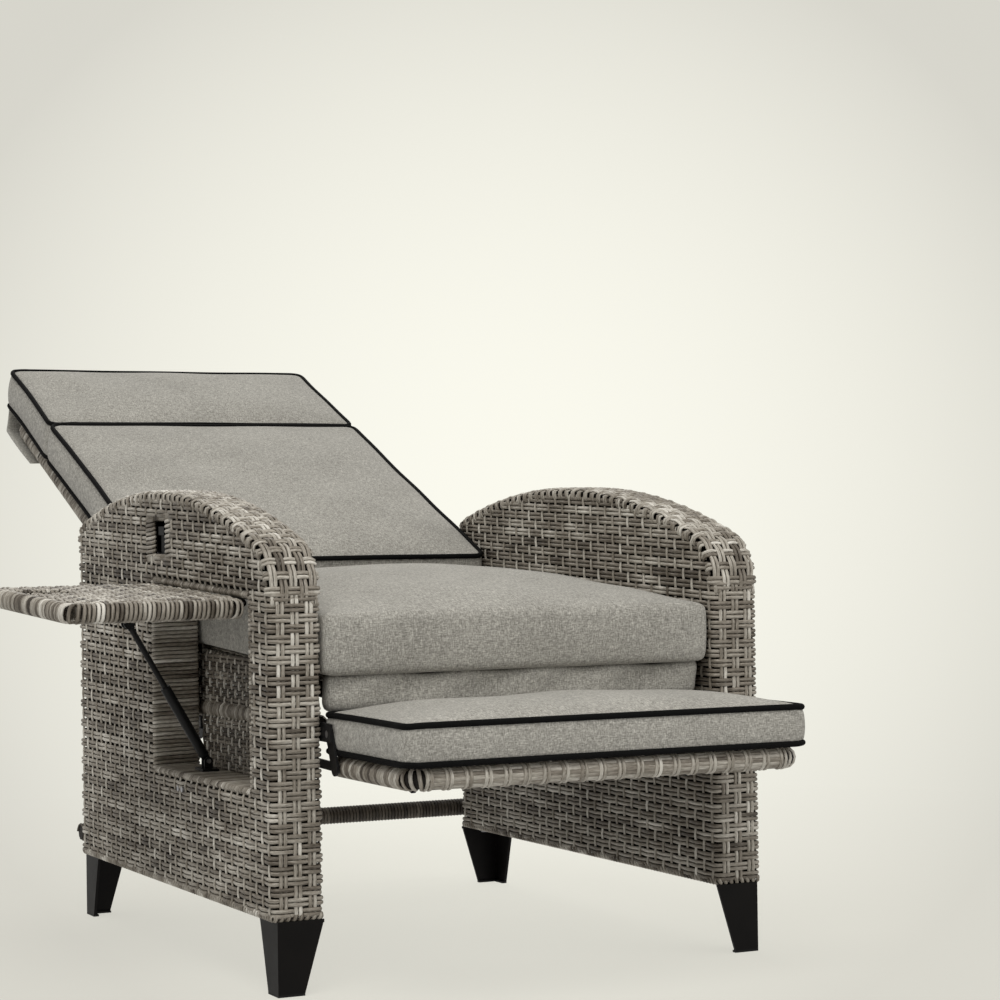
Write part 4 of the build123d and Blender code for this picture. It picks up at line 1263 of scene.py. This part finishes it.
class Cushion:
    """A boxed cushion in its own frame, Z out of its face."""

    def __init__(self, name, body, node, box, place, crown, corner, pull, bulge, cap, shoulder=0.75):
        self.name, self.body, self.place = name, body, place
        self.crown, self.corner, self.edge = crown, corner, 6 * MM
        self.pull, self.bulge, self.shoulder = pull, bulge, shoulder
        piece, self.middle, self.half = cushion_block(name, *box, corner, self.edge, 7 * MM)
        inflate(piece, self.half, cap)
        set_coordinates(piece.data, self.shape(coordinates_of(piece.data)))
        smooth = piece.modifiers.new("smooth", "SUBSURF")
        smooth.levels = smooth.render_levels = 1
        apply_modifiers(piece)
        piece.data.transform(place @ Matrix.Translation(self.middle))
        piece.data.shade_smooth()
        self.piece = piece
        finish_pieces(body, "cushion_fabric", piece)
        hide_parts(node)

    def shape(self, co):
        """Crowned faces, sides that pull in between the corners, and a soft unevenness."""
        half = self.half
        x, y, z = (co[:, i] / half[i] for i in range(3))
        fx = np.clip(1 - np.abs(x) ** 2.4, 0, 1) ** self.shoulder
        fy = np.clip(1 - np.abs(y) ** 2.4, 0, 1) ** self.shoulder
        dome = fx * fy
        rough = self.unevenness(co)
        lift = np.where(z > 0, self.crown * dome, 0) * np.clip(np.abs(z) * 1.1 - 0.1, 0, 1)
        sides_x = np.clip(1 - y**2, 0, 1)
        sides_y = np.clip(1 - x**2, 0, 1)
        belly = self.bulge * (1 - np.clip(z, -1, 1) ** 2)
        moved = co.copy()
        moved[:, 2] += lift + rough * 1.2 * dome
        moved[:, 0] += np.sign(x) * np.abs(x) ** 3 * (belly - self.pull * sides_x + rough * 0.5)
        moved[:, 1] += np.sign(y) * np.abs(y) ** 3 * (belly - self.pull * sides_y + rough * 0.5)
        return moved

    def unevenness(self, co):
        a, b, c = co[:, 0] * 31, co[:, 1] * 27, co[:, 2] * 40
        waves = np.sin(a + 1.7 * np.sin(b * 0.6)) + np.sin(b * 1.3 + 2.1) * np.cos(a * 0.7 + c)
        return 1.2 * MM * waves

    def seam(self, level):
        """Points of the seam round the cushion at the top (+1) or the bottom (-1), in its own frame."""
        fx, fy = self.half.x - self.corner, self.half.y - self.corner
        total = 4 * (fx + fy) + 2 * math.pi * self.corner
        points = np.array([self.outline(s, fx, fy) for s in np.linspace(0, total, 220, endpoint=False)])
        height = level * (self.half.z - self.edge * 0.35)
        return self.shape(np.column_stack([points, np.full(len(points), height)]))

    def outline(self, s, fx, fy):
        """Point s metres round the outline; fx and fy are half its straight sides."""
        corner = self.corner
        arc = corner * math.pi / 2
        for (cx, cy), (dx, dy), first, span in (
            ((-fx, -fy), (1, 0), -90, 2 * fx),
            ((fx, -fy), (0, 1), 0, 2 * fy),
            ((fx, fy), (-1, 0), 90, 2 * fx),
            ((-fx, fy), (0, -1), 180, 2 * fy),
        ):
            normal = (dy, -dx)
            if s <= span:
                return cx + dx * s + normal[0] * corner, cy + dy * s + normal[1] * corner
            s -= span
            if s <= arc:
                angle = math.radians(first) + s / corner
                ex, ey = cx + dx * span, cy + dy * span
                return ex + corner * math.cos(angle), ey + corner * math.sin(angle)
            s -= arc
        return -fx, -fy - corner

    def piping(self, level, material):
        """A corded seam laid on the finished cushion."""
        radius = 4 * MM
        place = self.place @ Matrix.Translation(self.middle)
        mesh = self.piece.data
        tree = BVHTree.FromPolygons([v.co for v in mesh.vertices], [p.vertices for p in mesh.polygons])
        path = []
        for point in self.seam(level):
            found, normal, _, _ = tree.find_nearest(place @ Vector(point))
            path.append(found + normal * radius * 0.45)
        name = f"{self.name}_piping_{'top' if level > 0 else 'base'}"
        round_bar = dict(dimensions="3D", bevel_depth=radius, bevel_resolution=3)
        cord = put_curve(name, [path], material, kind="NURBS", **round_bar)
        finish_pieces(self.body, "cushion_fabric", cord)


def soft_copy(name, node, body, material, voxel, wander, place=None):
    """A soft piece made from a CAD solid's copy: remeshed, rounded and a little uneven."""
    piece = put(name, nodes[node].data.copy())
    piece.data.materials.clear()
    if place is not None:
        piece.data.transform(place)
    remesh_evenly(piece, voxel)
    smooth = piece.modifiers.new("smooth", "SMOOTH")
    smooth.factor = 0.5
    smooth.iterations = 4
    apply_modifiers(piece)
    co = coordinates_of(piece.data)
    normals = np.empty(len(co) * 3)
    piece.data.vertices.foreach_get("normal", normals)
    normals = normals.reshape(-1, 3)
    wave = np.sin(co[:, 0] * 55 + 2 * np.sin(co[:, 2] * 40)) + 0.6 * np.sin(co[:, 0] * 23 + co[:, 1] * 31)
    set_coordinates(piece.data, co + normals * (wave * wander)[:, None])
    piece.data.shade_smooth()
    piece.data.materials.append(material)
    finish_pieces(body, "cushion_fabric", piece)
    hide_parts(node)
    return piece


def add_cushions(fabric, piping, back_place):
    seat_front = Vector((0, -0.405, 0.399 - 0.033 * math.tan(SEAT_TILT)))
    seat_place = Matrix.Translation(seat_front) @ Matrix.Rotation(SEAT_TILT, 4, "X")
    seat_box = ((-0.281, 0, 0), (0.281, 0.612, 0.080))
    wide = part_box("back_cushion")[1].x
    back_box = ((-wide, -0.037, 0.085), (wide, 0.554, 0.153))
    head_box = ((-wide, 0.556, 0.085), (wide, 0.830, 0.153))
    foot_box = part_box("footrest_cushion")
    on_back = dict(body="backrest", place=back_place, corner=0.016, pull=0.003, bulge=0.004, cap=0.009)
    on_seat = dict(place=seat_place, corner=0.010, pull=0.001, bulge=0.002, cap=0.004, shoulder=0.9)
    on_foot = dict(place=Matrix.Identity(4), corner=0.012, pull=0.002, bulge=0.003, cap=0.006)
    seat = Cushion("seat_pad", "chassis", "seat_cushion", seat_box, crown=0.032, **on_seat)
    back = Cushion("back_pad", node="back_cushion", box=back_box, crown=0.013, **on_back)
    head = Cushion("head_pad", node="head_cushion", box=head_box, crown=0.012, **on_back)
    foot = Cushion("foot_pad", "footrest", "footrest_cushion", foot_box, crown=0.014, **on_foot)
    for cushion in (seat, back, head, foot):
        cushion.piece.data.materials.clear()
        cushion.piece.data.materials.append(fabric)
    for cushion in (back, head, foot):
        cushion.piping(1, piping)
        cushion.piping(-1, piping)
    low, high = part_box("apron_pad")
    middle = (low + high) / 2
    fuller = Matrix.Translation(middle + Vector((0, 6 * MM, 0))) @ Matrix.Diagonal((1.04, 1, 1.35, 1))
    fuller = fuller @ Matrix.Translation(-middle)
    apron = soft_copy("apron", "apron_pad", "chassis", fabric, 0.004, 0.0024, fuller)
    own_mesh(apron)
    soft_copy("head_sleeve", "head_hood", "backrest", fabric, 0.003, 0.0008)


# ---------------------------------------------------------------- hard parts
def paint(material, node):
    if not node.material_slots:
        node.data.materials.append(material)
    for slot in node.material_slots:
        slot.material = material


# by slot: name, dark and light tone, roughness, metallic, specular
COATS = {
    "leg_metal": ("leg_coat", (0.0030, 0.0024, 0.0021), (0.0065, 0.0052, 0.0046), 0.45, 0.0, 0.15),
    "black_metal": ("black_coat", (0.004, 0.004, 0.004), (0.011, 0.011, 0.012), 0.42, 0.0, 0.22),
    "frame_tube": ("frame_coat", (0.030, 0.025, 0.020), (0.055, 0.047, 0.040), 0.55, 0.0, 0.22),
    "black_plastic": ("black_moulding", (0.004, 0.004, 0.004), (0.010, 0.010, 0.010), 0.55, 0.0, 0.22),
    "steel": ("zinc_steel", (0.30, 0.30, 0.31), (0.48, 0.48, 0.50), 0.38, 1.0, 0.5),
}


def paint_hard_parts():
    coats = {slot: coated_material(*coat) for slot, coat in COATS.items()}
    for part in frame["record"]["subparts"]:
        if part["material_slot"] in coats:
            paint(coats[part["material_slot"]], nodes[part["node"]])


def build():
    bpy.context.scene.view_settings.view_transform = "Standard"
    back = add_camera()
    add_world(back)
    add_floor()
    add_light("key", (-1.2, -2.0, 3.4), (0, 0, 0.3), 2.2, 60)
    add_light("fill", (2.6, -2.4, 1.6), (0, 0, 0.4), 2.0, 16)
    add_light("rim", (0.5, 3.0, 2.6), (0, 0, 0.5), 2.0, 20)
    wicker = wicker_material()
    core = coated_material("tube_core", (0.010, 0.008, 0.006), (0.022, 0.018, 0.015), 0.6)
    # painted shade: a near-black coat for the sheets inside the arms that darken the gaps of the weave
    painted_shade_sheet = coated_material("painted_shade_sheet", (0.004, 0.003, 0.002), (0.009, 0.007, 0.005), 0.8, specular=0.1)
    for side in (1, -1):
        Arm(side).build(wicker, painted_shade_sheet)
    back_place = back_frame()
    add_stretcher(wicker, core)
    add_seat_rails(wicker, core)
    add_seat_skirts(wicker)
    add_seat_deck(wicker)
    add_back_weave(wicker, core, back_place)
    add_foot_weave(wicker, core)
    add_table(wicker)
    paint_hard_parts()
    add_cushions(fabric_material(), piping_material(), back_place)


build()
